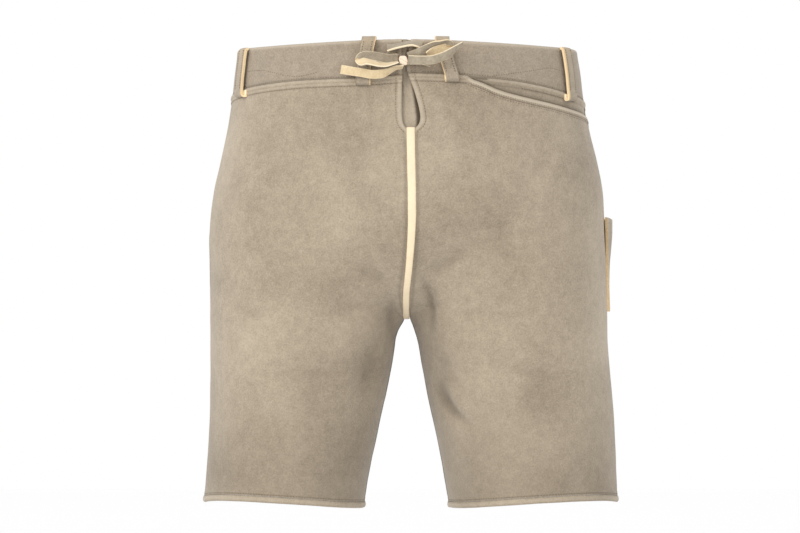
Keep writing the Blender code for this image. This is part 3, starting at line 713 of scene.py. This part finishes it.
HEM_ROLL = table(
    "step below lift",
    (0, 0.2, -0.5), (1, 0.5, 0.75), (2, 1.9, 1.45), (3, 4.2, 1.65), (4, 5.9, 1.15), (5, 6.9, -0.3),
    (6, 6.2, -1.7), (7, 4.2, -2.1), (8, 1.2, -2.1),
)
for half, side_name in ((-1, "left"), (1, "right")):

    def place(c, r, half=half):
        around, step = np.broadcast_arrays(mix(-1.0, 1.0, c), 8 * r)
        below, lift = read(HEM_ROLL, "below", step, "step"), read(HEM_ROLL, "lift", step, "step")
        foot = form(half, around, HEM_DEPTH + 0 * step)
        pinch = 0.45 * wobble(foot, 17.0, 2.0) + 0.35 * wobble(foot, 52.0, 6.0)
        points = laid(half, around, HEM_DEPTH + 0 * step, lift + pinch * ease((step - 0.5) / 2))
        points[..., 2] -= below + 0.35 * wobble(foot, 40.0, 12.0) * ease((step - 1) / 3)
        # Painted shade at the roll's upper edge, where it tucks under the panel, and painted shade towards the
        # hems.
        return points, 0.5 * hump(step, 2.6, 1.3) - 0.25 * (step < 0.5) + hem_painted_shade(foot)

    columns, rows = np.linspace(0, 1, 241), np.linspace(0, 1, 25)
    hem = hide(f"hem_{side_name}_roll", columns, rows, place, HEM_THICK, (suede,), half, ring=True)
    settle(hem, f"hem_{side_name}")

# %% [markdown]
# The gusset is a soft tongue behind the slit. The lace gathers it, so it is pleated at the top and goes
# flat further down. The welt is a strip of undyed hide laid over the seam: a flat dome, narrower to the
# crotch.

# %% Gusset and welt
def across(x, depth, lift, front=False):
    """A point `lift` millimetres off the form and x millimetres to the side of the middle."""
    x, depth, lift = np.broadcast_arrays(*(np.asarray(value, float) for value in (x, depth, lift)))
    both = [laid(half, round_of(half, np.abs(x), depth, front), depth, lift) for half in (-1, 1)]
    return np.where((x >= 0)[..., None], both[1], both[0])


def place(c, r):
    x, depth = np.broadcast_arrays(mix(-23.0, 23.0, c) + 0.05, mix(-3.6, 104.0, r))
    pleat = 1.5 * (1 - r) ** 1.4 * (1 - np.cos(c * 9 * math.pi + 0.8 * r))
    between = np.exp(-(((x + 1.6) / 3.9) ** 4)) * (1 - ease((depth - 16) / 22))
    points = across(x, depth, -(BAND_THICK + GAP + 0.3) - pleat * (1 - 0.7 * between) + 2.0 * between)
    points[..., 1] -= 0.5 * wobble(points, 24.0, 4.0) - 0.5
    # Painted light and shade in stripes across the pleats, painted shade down the right side where the gusset
    # lies deeper behind the slit, and a lighter tint overall as painted light.
    return points, -0.35 * (1 - r) * np.cos(c * 9 * math.pi + 0.8 * r) + 0.25 - 1.3 * ease((x - 2.5) / 5)


gusset = hide("gusset_tongue", np.linspace(0, 1, 65), np.linspace(0, 1, 61), place, HIDE_THICK, (suede,))
settle(gusset, "back_gusset")

# Down the back seam to the crotch, which is stop 10, and a little way up the front seam.
WELT_DEPTHS = (88, 112, 138, 164, 190, 205, 220, 232, 241, 247, CROTCH_DEPTH, 247, 241, 232)
WELT_STOPS = table("step depth", *enumerate(WELT_DEPTHS))
AT_CROTCH = WELT_DEPTHS.index(CROTCH_DEPTH)


def welt_place(c, r):
    steps = (len(WELT_DEPTHS) - 1) * r[:, 0]
    depth = read(WELT_STOPS, "depth", steps, "step")
    around = np.where(steps <= AT_CROTCH, -1 + SEAM_S, 1 - SEAM_S)
    spine = (form(-1, around, depth) + form(1, around, depth)) / 2
    for _ in range(3):
        spine[1:-1] = (spine[:-2] + 2 * spine[1:-1] + spine[2:]) / 4
    ahead = np.gradient(spine, axis=0)
    away = unit(np.stack([0 * steps, ahead[:, 2], -ahead[:, 1]], axis=-1))
    spread = clamp((np.where(steps <= AT_CROTCH, depth, 300) - SEAT_DEPTH + 15) / 40)
    u = (2 * c - 1)[0]
    half_width = mix(4.35, 3.45, spread) + 0.16 * wobble(spine, 26.0, 1.0)
    dome = mix(0.35, 1.7, spread)[:, None] + 1.25 * (1 - np.abs(u) ** 2.6)[None, :]
    points = spine[:, None, :] + away[:, None, :] * dome[..., None]
    points[..., 0] += half_width[:, None] * np.sin(u * 1.45)[None, :] / math.sin(1.45)
    points = points + away[:, None, :] * (0.18 * wobble(points, 13.0, 5.0))[..., None]
    # Painted shade along both edges of the welt. Its middle takes the worn tint.
    return points, np.broadcast_to(0.55 - 1.3 * np.abs(u) ** 5, points.shape[:-1])


welt = hide("seam_welt", np.linspace(0, 1, 15), np.linspace(0, 1, 170), welt_place, WELT_THICK, (raw,))
settle(welt, "back_welt")

# %% [markdown]
# The back pocket's facing fills the wedge between the waistband and the slanting mouth. It starts level
# with the band and dips behind the panel where the hand goes in.

# %% Back pocket facing
def place(c, r):
    around = mix(-0.835, -SEAM_S, c)
    top, mouth = band_seam(1, around) + GAP / 2 - LAP, read(POCKET_MOUTH, "depth", around, "round")
    around, depth = np.broadcast_arrays(around, mix(top, mouth + 15.0, r))
    behind = -(HIDE_THICK + GAP + 0.4) * (1 - clamp((mouth - 1.5 - depth) / 13.0))
    from_top = depth - top
    relief = 1.3 * (1 - ease((from_top - 1.8) / 4.2)) - 0.6 * clamp(1 - from_top / 1.0) ** 2
    groove = hump(from_top, 6.4, 0.8)
    base = laid(1, around, depth, behind + relief - 0.25 * groove)
    # Painted shade in the stitched groove and where the facing dips behind the pocket's mouth.
    wear_and_shade = 0.28 * hump(from_top, 1.6, 1.5) - 0.3 * groove
    return base, np.maximum(wear_and_shade - 0.5 * np.exp((depth - mouth + 2.4) / 2.4), -0.8)


columns, rows = spaced(240.0, 2.6, (6, 3)), spaced(36.0, 1.3, (9, 2), 0.7)
facing = hide("pocket_facing_hide", columns, rows, place, HIDE_THICK, (suede,))
settle(facing, "back_pocket_facing")

# %% [markdown]
# A belt loop is a thick strip sewn in over the band's upper edge, standing off it, with its foot turned
# under. The cut sides are left raw, and that cream line is what shows from behind.

# %% Belt loops
LOOP_WIDE, LOOP_THICK = 14.5, 2.6
LOOP_STARTS = {
    "over_edge": ((0, 0.0, -3.2, -1.2), (1, 0.0, -3.4, 2.4), (2, 0.0, 0.4, 5.6)),
    "under_edge": ((0, 0.0, 0.3, 3.2), (1, 0.0, 1.0, 4.6), (2, 0.0, 2.4, 5.8)),
}
LOOP_REST = (
    (3, 0.12, 0.0, 6.4), (4, 0.5, 0.0, 6.5), (5, 0.88, 0.0, 6.4), (6, 1.0, 2.6, 6.0), (7, 1.0, 5.8, 3.5),
    (8, 1.0, 4.0, 0.6), (9, 1.0, -1.5, 0.5),
)
# Half, places round the garment at top and foot, way it starts, slip of its foot, pale share of its width.
BELT_LOOPS = {
    "belt_loop_side_left": (-1, -0.255, -0.256, "under_edge", 1.0, 0.2),
    "belt_loop_back_left": (-1, -0.891, -0.875, "over_edge", 0.0, 0.14),
    "belt_loop_back_right": (1, -0.898, -0.870, "over_edge", 0.0, 0.17),
    "belt_loop_side_right": (1, -0.305, -0.309, "under_edge", 0.5, 0.28),
}


def loop_place(half, top_round, foot_round, start, stray, pale, c, r):
    """`stray`: how far the turned-under foot has slipped to the back; `pale`: how wide the cut side shows."""
    path, step = table("step share past lift", *LOOP_STARTS[start], *LOOP_REST), 9 * r
    share, past, lift = (read(path, name, step, "step") for name in ("share", "past", "lift"))
    middle = mix(top_round, foot_round, share)
    depth = mix(band_top(middle), band_seam(half, middle), share) + past
    run, u = run_of(half, middle, depth), 2 * c - 1
    slip = -stray * 4.0 * ease((step - 6.2) / 1.6)
    around = middle + (u * LOOP_WIDE / 2 + slip) / run
    points = laid(half, around, depth + 0 * u, lift - 0.35 * np.abs(u) ** 3)
    bend = 0.4 * wobble(points, 16.0, 3.0 + half)
    points = points + outward(half, around, depth + 0 * u) * bend[..., None]
    # Painted shadow along one side edge, where the loop stands off the band, and painted shade at the
    # turned-under foot. The pale share is the cream cut side.
    wear_and_shade = -0.5 * hump(u, 0.97, 0.07) + 1.1 * ease((-u - 1 + pale) / 0.1)
    wear_and_shade = wear_and_shade + 0.15 * hump(step, 2.4, 1) - 0.3 * np.exp(-((step - 6.9) ** 2) / 0.4)
    return points, wear_and_shade


for name, values in BELT_LOOPS.items():
    half = values[0]

    def place(c, r, values=values):
        return loop_place(*values, c, r)

    columns, rows, finishes = np.linspace(0, 1, 29), np.linspace(0, 1, 91), (loop_suede, flesh, loop_raw)
    loop = hide(name + "_strip", columns, rows, place, LOOP_THICK, finishes, half)
    settle(loop, name)

# %% [markdown]
# The knife pocket is a narrow patch over the wearer's right side seam. Its mouth gapes, and its rear edge
# stands off the leg and shows the hide's cream thickness.

# %% Knife pocket
POCKET_GAPES = table("step gape", (0, 5.9), (1, 5.6), (2, 4.2), (3, 2.2), (4, 1.0), (5, 0.5), (6, 0.0))
POCKET_THICK = 3.2


def knife_place(c, r):
    bow = np.sin(math.pi * clamp(c)) ** 0.8 + 0 * r
    depth = mix(178.0, 278.0, r) + 3.0 * np.sin(math.pi * c) * (1 - r) ** 4
    gape = read(POCKET_GAPES, "gape", 6 * r, "step")
    around = mix(-0.04 - 0.045 * (1 - r) ** 2.5, 0.125, c)
    points = laid(1, around, depth, GAP + 0.1 + POCKET_THICK + gape * bow)
    points = points + outward(1, around, depth) * (0.35 * wobble(points, 22.0, 7.0) * ease(c * 6))[..., None]
    # Lighter rubbed edges, and a thin line of painted shade near the rear edge.
    edge = 0.3 * np.exp(-c * 26) + 0.3 * np.exp(-r * 60)
    return points, edge - 0.3 * hump(c, 0.12, 0.02)


columns, rows = spaced(40.0, 2.0, (6, 4)), spaced(102.0, 2.2, (6, 4))
knife = hide("knife_pocket_patch", columns, rows, knife_place, POCKET_THICK, (suede, flesh, loop_raw))
settle(knife, "knife_pocket")

# %% [markdown]
# The hidden front is kept plain: an apron that drops, held by two horn buttons at the waist. Its edge is
# turned in and stitched like the others.

# %% Front flap
FLAP_TOP_WIDE, FLAP_FOOT_WIDE, FLAP_FOOT = 80.0, 72.0, 168.0


def outward_at(x, depth, front):
    """The form's normals, x millimetres to the side of the middle."""
    both = [outward(half, round_of(half, np.abs(x), depth, front), depth) for half in (-1, 1)]
    return np.where((x >= 0)[..., None], both[1], both[0])


def flap_place(c, r):
    rounding = 1 - np.sqrt(1 - clamp((r - 0.82) / 0.19) ** 2)
    wide = mix(FLAP_TOP_WIDE, FLAP_FOOT_WIDE, r) - 26.0 * rounding
    u = 1 - 2 * c
    x = u * wide + 0.05
    top = band_top(round_of(1, np.abs(x), 8.0 + 0 * x, True)) + 1.5
    depth = mix(top, FLAP_FOOT, r)
    from_edge = np.minimum((1 - np.abs(u)) * wide, np.minimum(FLAP_FOOT - depth, depth - top))
    relief, wear_and_shade = lipped(from_edge)
    relief = relief + ease(from_edge / 14) * 0.7 * wobble(across(x, depth, 0.0, True), 55.0, 2.0)
    return across(x, depth, 2.2, True) + outward_at(x, depth, True) * relief[..., None], wear_and_shade


columns, rows = spaced(155.0, 3.0, (8, 8)), spaced(162.0, 3.0, (8, 8))
flap = hide("front_flap_hide", columns, rows, flap_place, HIDE_THICK, (suede,))
settle(flap, "front_flap")

# %% [markdown]
# Horn buttons are turned: a flat disc, a raised rim, a dished middle and four holes. A cylinder is inset
# step by step for the rim and the dish, its edges are bevelled, and four thin cylinders are cut away for
# the holes.

# %% Horn and its button
horn = bpy.data.materials.new("dark_horn")
horn.use_nodes = True
tree = horn.node_tree
shader = tree.nodes["Principled BSDF"]
where = node(tree, "ShaderNodeTexCoord", (-900, 0))
streaks = noise_node(tree, (-650, 0), 130.0, 5.0, 0.6, 2.5)
tree.links.new(where.outputs["Object"], streaks.inputs["Vector"])
ramp = node(tree, "ShaderNodeValToRGB", (-420, 0))
ramp.color_ramp.elements[0].position, ramp.color_ramp.elements[0].color = 0.35, (0.018, 0.010, 0.006, 1)
ramp.color_ramp.elements[1].position, ramp.color_ramp.elements[1].color = 0.72, (0.16, 0.085, 0.035, 1)
tree.links.new(streaks.outputs["Fac"], ramp.inputs["Fac"])
tree.links.new(ramp.outputs["Color"], shader.inputs["Base Color"])
shader.inputs["Roughness"].default_value = 0.32
shader.inputs["Coat Weight"].default_value = 0.3
BUTTON_RADIUS, BUTTON_HIGH, BUTTON_AWAY, BUTTON_DEPTH = 10.5, 4.0, 66.0, 24.0
BUTTON_RINGS = ((0.9, 0.5), (1.3, 0.0), (1.2, -1.1), (4.0, -0.2))  # how far in and how far up each ring goes
HOLE_RADIUS, HOLE_AWAY = 0.75, 1.9


def horn_button(name, x, depth):
    bpy.ops.object.select_all(action="DESELECT")
    bpy.ops.mesh.primitive_cylinder_add(vertices=48, radius=BUTTON_RADIUS * MM, depth=BUTTON_HIGH * MM)
    button = bpy.context.active_object
    button.name = name
    shape = bmesh.new()
    shape.from_mesh(button.data)
    top = max(shape.faces, key=lambda face: face.calc_center_median().z)
    for inset, rise in BUTTON_RINGS:
        bmesh.ops.inset_region(shape, faces=[top], thickness=inset * MM, depth=rise * MM, use_even_offset=True)
        top = max((f for f in shape.faces if len(f.verts) > 4), key=lambda face: face.calc_center_median().z)
    shape.to_mesh(button.data)
    shape.free()
    round_off = button.modifiers.new("round_off", "BEVEL")
    round_off.width, round_off.segments, round_off.limit_method = 0.5 * MM, 2, "ANGLE"
    bpy.ops.object.modifier_apply(modifier="round_off")
    for i in range(4):
        angle = math.pi / 4 + i * math.pi / 2
        place = (math.cos(angle) * HOLE_AWAY * MM, math.sin(angle) * HOLE_AWAY * MM, 0)
        bpy.ops.mesh.primitive_cylinder_add(vertices=16, radius=HOLE_RADIUS * MM, depth=12 * MM, location=place)
        drill = bpy.context.active_object
        cut = button.modifiers.new("hole", "BOOLEAN")
        cut.operation, cut.object = "DIFFERENCE", drill
        bpy.context.view_layer.objects.active = button
        bpy.ops.object.modifier_apply(modifier="hole")
        bpy.data.objects.remove(drill)
    x, depth = np.array(x), np.array(depth)
    normal = Vector(outward_at(x, depth, True))
    button.data.transform(normal.to_track_quat("Z", "Y").to_matrix().to_4x4())
    centre = across(x, depth, GAP + 0.3 + HIDE_THICK + 0.9 + BUTTON_HIGH / 2, True) * MM
    button.data.transform(Matrix.Translation(Vector(centre)))
    bpy.ops.object.select_all(action="DESELECT")
    button.select_set(True)
    bpy.context.view_layer.objects.active = button
    bpy.ops.object.shade_smooth_by_angle(angle=math.radians(35))
    button.data.materials.append(horn)
    return button


for side_name, x in (("left", -BUTTON_AWAY), ("right", BUTTON_AWAY)):
    button = horn_button(f"horn_button_{side_name}", x, BUTTON_DEPTH)
    stand_for(button, f"front_button_{side_name}")

# %% [markdown]
# The lace is a flat thong cut from the same hide: dyed on its outer face, cream on its flesh side and along
# its cut edges. It follows a route of points from the middle of the back, with the way its width turns at
# each of them. The bow's loops and tails hang free. The bridge and the two feeds lie on the band.

# %% Lace routes
LACE_WIDE, LACE_THICK = 9.0, 1.4
LACE_ROUTES = {
    "lace_bridge": (
        (-19.0, 6.5, 3.6, -35), (-14.0, 5.4, 4.3, -46), (-4.9, 3.4, 4.7, -52), (5.0, 1.6, 4.7, -52),
        (11.3, 2.4, 4.3, -46), (16.4, 4.1, 3.6, -35),
    ),
    "lace_feed_left": (
        (-19.4, 14.9, 1.2, 0), (-13.2, 15.5, 2.4, 0), (-7.5, 16.9, 3.4, 0),
    ),
    "lace_feed_right": (
        (26.8, 20.6, 1.2, 0), (19.6, 18.7, 2.2, 0), (12.9, 17.8, 3.0, 0), (5.0, 18.7, 3.2, 0),
    ),
    "lace_loop_left": (
        (-7.0, 17.5, 7.2, 10), (-12.9, 18.1, 8.6, 8), (-20.3, 17.7, 9.8, 6), (-27.7, 16.3, 10.8, 6),
        (-34.9, 15.3, 11.6, 8), (-40.1, 15.4, 12.2, 14), (-43.9, 16.6, 13.0, 22), (-45.6, 19.8, 14.6, 8),
        (-43.4, 22.3, 16.8, -20), (-38.6, 22.5, 18.0, -45), (-34.1, 23.3, 18.2, -52), (-26.9, 25.3, 17.8, -56),
        (-19.7, 25.8, 17.0, -60), (-12.5, 24.0, 15.2, -66), (-7.1, 22.5, 14.0, -75),
    ),
    "lace_tail_left": (
        (-1.5, 26.3, 7.0, 80), (-5.5, 26.9, 7.6, 80), (-9.8, 27.9, 8.4, 76), (-16.7, 31.3, 10.0, 62),
        (-22.5, 33.6, 11.0, 38), (-28.9, 34.6, 11.4, 14), (-36.1, 34.4, 11.2, 4), (-44.2, 32.7, 10.8, 0),
        (-53.1, 31.1, 10.2, 0), (-61.3, 29.5, 9.6, 0), (-65.3, 28.8, 9.2, 0),
    ),
    "lace_loop_right": (
        (3.9, 15.7, 6.6, 8), (10.3, 13.0, 8.2, 14), (16.2, 10.4, 9.8, 20), (22.0, 7.1, 11.4, 34),
        (27.9, 3.6, 12.6, 58), (33.8, 2.0, 13.4, 74), (39.5, 1.8, 14.0, 60), (43.0, 4.0, 13.8, 24),
        (42.0, 6.4, 12.6, 14), (37.3, 7.6, 11.4, 14), (29.3, 10.2, 10.6, 26), (21.7, 14.2, 10.4, 62),
    ),
    "lace_tail_right": (
        (3.9, 19.5, 10.0, 0), (12.4, 20.2, 12.6, 0), (20.1, 20.5, 14.8, 2), (26.8, 20.3, 16.4, 8),
        (33.5, 18.2, 17.4, 14), (40.1, 15.1, 17.8, 24), (47.7, 10.2, 17.4, 36), (55.8, 4.6, 16.2, 46),
    ),
}
LACE = {name: table("x depth lift turn", *rows) for name, rows in LACE_ROUTES.items()}
LACE_STEPS = 10
# Share of the width that the pale cut edge takes up, above and below, where the thong is twisted.
CUT_EDGES = {"lace_bridge": (0.03, 0.3), "lace_tail_right": (0.16, 0.03), "lace_loop_left": (0.03, 0.06)}
TIP_LOSS = {"lace_tail_right": 0.55}  # how much of its width the tail has lost at its slanted tip


def lace_surface(name):
    """Centre line, and the vector from it to the thong's upper edge, at each step."""
    rows = dict(LACE[name])
    last = len(rows["x"]) - 1
    rows["step"] = np.arange(last + 1.0)
    step = np.linspace(0, last, last * LACE_STEPS + 1)
    x, depth, lift, turn = (read(rows, column, step, "step") for column in ("x", "depth", "lift", "turn"))
    centre = across(x, depth, lift)
    away = unit(across(x, depth, lift + 1) - centre)
    ahead = unit(np.gradient(centre, axis=0))
    away = unit(away - ahead * (away * ahead).sum(axis=-1, keepdims=True))
    upright = np.cross(ahead, away)
    upright = upright * np.where(upright[:, 2:] < 0, -1.0, 1.0)
    turn = np.radians(turn)[:, None]
    return centre, upright * np.cos(turn) + away * np.sin(turn)


def thong(name, faces, half):
    centre, edge = lace_surface(name)
    across_it = unit(np.cross(np.gradient(centre, axis=0), edge))

    def place(c, r):
        u = 1 - 2 * c[0]
        i = np.rint(r[:, 0] * (len(centre) - 1)).astype(int)
        wide = np.full(len(i), LACE_WIDE / 2)
        wide = wide + 0.22 * wobble(centre[i] + 7 * len(name), 9.0, 3.0)
        shift = np.zeros(len(i))
        if name in TIP_LOSS:
            tip = ease((r[:, 0] - 0.72) / 0.28) * TIP_LOSS[name] * LACE_WIDE / 2
            wide, shift = wide - tip, tip
        cup = 0.35 * (1 - u**2)
        points = centre[i][:, None] + edge[i][:, None] * (u[None] * wide[:, None] + shift[:, None])[..., None]
        points = points + across_it[i][:, None] * cup[None, :, None]
        upper, lower = CUT_EDGES.get(name, (0.03, 0.03))
        pale = 1.2 * (ease((u - 1 + upper) / 0.08) + ease((-u - 1 + lower) / 0.08))
        return points, np.broadcast_to(pale - 0.1, points.shape[:-1])

    columns, rows = np.linspace(0, 1, 17), np.linspace(0, 1, len(centre))
    piece = hide(name + "_thong", columns, rows, place, LACE_THICK, faces, half, side=0.0)
    stand_for(piece, name)
    return piece, centre


for name in LACE:
    faces = (flesh, lace_suede, raw) if name == "lace_tail_left" else (lace_suede, flesh, raw)
    towards_left = name in ("lace_loop_left", "lace_feed_right", "lace_tail_left")
    thong(name, faces, 1 if towards_left else -1)

# %% [markdown]
# The knot is the thong wound once round itself: a short, rounded block with a fold across it.

# %% Knot
bpy.ops.object.select_all(action="DESELECT")
bpy.ops.mesh.primitive_cube_add(size=2.0)
knot = bpy.context.active_object
knot.name = "bow_knot"
swell = knot.modifiers.new("swell", "SUBSURF")
swell.levels = swell.render_levels = 4
bpy.ops.object.modifier_apply(modifier="swell")
flat = np.empty(len(knot.data.vertices) * 3)
knot.data.vertices.foreach_get("co", flat)
ball = flat.reshape(-1, 3)
ball = ball / np.abs(ball).max()
box = np.sign(ball) * np.abs(ball) ** 0.62
pinch = 1 + 0.06 * np.cos(3.1 * box[:, 2:] + 0.9 * box[:, :1])
knot_points = box * np.array([4.3, 3.4, 4.9]) * np.concatenate([pinch, pinch, np.ones_like(pinch)], axis=1)
fold = hump(box[:, 2] + 0.55 * box[:, 0], 0, 0.12)
knot_points[:, 1] += 0.45 * fold
knot_points[:, 0] -= 0.5 * box[:, 2]
knot_points += across(np.array(-1.1), np.array(19.8), np.array(7.8))
knot.data.vertices.foreach_set("co", (knot_points * MM).ravel())
# Painted shade in the fold across the knot.
knot.data.attributes.new("wear_and_shade", "FLOAT", "POINT").data.foreach_set("value", 0.2 - 0.7 * fold)
knot.data.materials.append(knot_hide)
bpy.ops.object.shade_smooth()
stand_for(knot, "lace_knot")

# %% [markdown]
# A loop or tail of the bow hangs free.


print("bow loops and tails hang free")

# %% [markdown]
# Stitches are what makes the seams read as sewn. One is a small bead stretched along its seam, modelled once
# and repeated along every row, half sunk in the leather. Along the seams, the relief of the hide already has
# the groove that they lie in.

# %% One stitch, and how a row is sewn
bpy.ops.object.select_all(action="DESELECT")
bpy.ops.mesh.primitive_uv_sphere_add(segments=6, ring_count=5, radius=1.0)
bead = bpy.context.active_object
STITCH_POINTS = np.array([vertex.co for vertex in bead.data.vertices])
STITCH_FACES = [list(face.vertices) for face in bead.data.polygons]
bpy.data.objects.remove(bead)


def sew(name, lines, pitch=3.0, long=1.7, wide=0.8, sunk=0.1):
    """Stitches along lines of surface points, each given with the surface's normals there, in millimetres."""
    points, faces = [], []
    for line, normals in lines:
        so_far = np.concatenate([[0], np.cumsum(np.linalg.norm(np.diff(line, axis=0), axis=1))])
        stops = np.arange(pitch / 2, so_far[-1], pitch)
        centre, normal, ahead = (np.stack([np.interp(stops, so_far, v[:, k]) for k in range(3)], axis=-1)
                                 for v in (line, normals, np.gradient(line, axis=0)))
        ahead, normal = unit(ahead), unit(normal)
        side = unit(np.cross(normal, ahead))
        for c, n, a, s in zip(centre, normal, ahead, side):
            faces += [[index + len(points) * len(STITCH_POINTS) for index in face] for face in STITCH_FACES]
            shape = STITCH_POINTS[:, :1] * a * long / 2 + STITCH_POINTS[:, 1:2] * s * wide / 2
            points.append(c - n * sunk + shape + STITCH_POINTS[:, 2:] * n * wide / 2)
    mesh = bpy.data.meshes.new(name)
    mesh.from_pydata((np.concatenate(points) * MM).tolist(), [], faces)
    mesh.shade_smooth()
    row = bpy.data.objects.new(name, mesh)
    bpy.context.scene.collection.objects.link(row)
    mesh.materials.append(thread)
    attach(row, "root")
    print(name, len(points), "stitches")


def panel_line(half, around, depth, is_front=False):
    return panel_surface(half, around, depth, is_front)[0], outward(half, around, depth)


def band_line(half, around, depth):
    return band_surface(half, around, depth)[0], outward(half, around, depth)


# %% Rows along the seams, the slit and the hems
NEAR_SIDE, NEAR_FRONT = 0.012, 0.985
seam_lines, lip_lines, hem_lines = [], [], []
for half in (-1, 1):
    around = np.linspace(-0.965, -NEAR_SIDE, 400)
    seam_lines.append(panel_line(half, around, panel_top(half, around, False) + LAP_STITCH))
    around = np.linspace(NEAR_SIDE, NEAR_FRONT, 300)
    seam_lines.append(panel_line(half, around, panel_top(half, around, True) + LAP_STITCH, True))
    depth = np.linspace(30.0, SLIT_FOOT + 1.5, 80)
    run = run_of(half, -0.95 + 0 * depth, depth)
    lip_lines.append(panel_line(half, slit_edge(half, depth) + LIP_STITCH / run, depth))
    for is_front, reach in ((False, (-0.995, -NEAR_SIDE)), (True, (NEAR_SIDE, NEAR_FRONT))):
        around = np.linspace(*reach, 300)
        hem_lines.append(panel_line(half, around, HEM_DEPTH - 1.7 + 0 * around, is_front))
print("rows along seams, slit and hems", len(seam_lines), len(lip_lines), len(hem_lines))

# %% [markdown]
# The band also has rows worked into it for ornament, and others that quilt its two layers along the seam
# and beside the slit. Each belt loop is sewn along both sides.

# %% Rows on the band and the belt loops
# For each half: places round the garment, and depths.
BAND_ROWS = (
    (-1, ((-0.29, 25.8), (-0.36, 25.2), (-0.43, 25.9), (-0.50, 29.4), (-0.55, 32.4), (-0.60, 33.7),
          (-0.64, 33.4), (-0.70, 30.0))),
    (1, ((-0.72, 33.8), (-0.65, 31.2), (-0.59, 28.9), (-0.52, 26.3), (-0.45, 23.6), (-0.41, 23.5),
         (-0.35, 25.7))),
)
loop_lines, deco_lines = [], []
for name, values in BELT_LOOPS.items():
    for side in (0.2, 0.8):
        points, _ = loop_place(*values, np.full((1, 1), side), np.linspace(2.4, 5.2, 90)[:, None] / 9)
        share, (half, top_round, foot_round) = np.linspace(0, 1, 90), values[:3]
        normals = outward(half, mix(top_round, foot_round, share), mix(4.0, 44.0, share))
        loop_lines.append((points[:, 0], normals))
for half, marks in BAND_ROWS:
    around, depth = (np.interp(np.linspace(0, 1, 200), np.linspace(0, 1, len(marks)), v) for v in zip(*marks))
    depth[7:-7] = np.convolve(depth, np.ones(15) / 15, "valid")
    deco_lines.append(band_line(half, around, depth))
for half in (-1, 1):
    around = np.linspace(-0.96, 0.97, 600)
    depth = band_seam(half, around) - LAP - 2.0
    deco_lines.append(band_line(half, around, depth))
    for offset in (4.0,) if half < 0 else (3.4, 7.2):
        depth = np.linspace(1.0, 34.0, 60)
        around = slit_edge(half, depth) + offset / run_of(half, -0.95 + 0 * depth, depth)
        deco_lines.append(band_line(half, around, depth))
print("rows on the loops and the band", len(loop_lines), len(deco_lines))

# %% [markdown]
# The pocket's mouth is sewn twice, and its facing once. Then all the rows are turned into stitches.

# %% Rows at the pocket's mouth, and all the stitches
mouth_lines = []
around = np.linspace(POCKET_MOUTH["round"][0] + 0.01, -NEAR_SIDE, 240)
for down in (3.9, 5.8):
    mouth_lines.append(panel_line(1, around, panel_top(1, around, False) + down))
around = np.linspace(-0.60, -0.26, 120)
depth = band_seam(1, around) + GAP / 2 - LAP + 6.4
mouth_lines.append((laid(1, around, depth, -0.1), outward(1, around, depth)))
sew("belt_loop_stitches", loop_lines, pitch=2.6, long=1.5, wide=1.0, sunk=-0.1)
sew("band_stitches", deco_lines, pitch=2.7, long=1.4, wide=0.8)
sew("pocket_mouth_stitches", mouth_lines, pitch=2.6, long=1.3)
sew("waist_seam_stitches", seam_lines)
sew("slit_stitches", lip_lines, pitch=2.8)
sew("hem_stitches", hem_lines)

# %% [markdown]
# Last, the selection is cleared.

# %% Finish
bpy.ops.object.select_all(action="DESELECT")
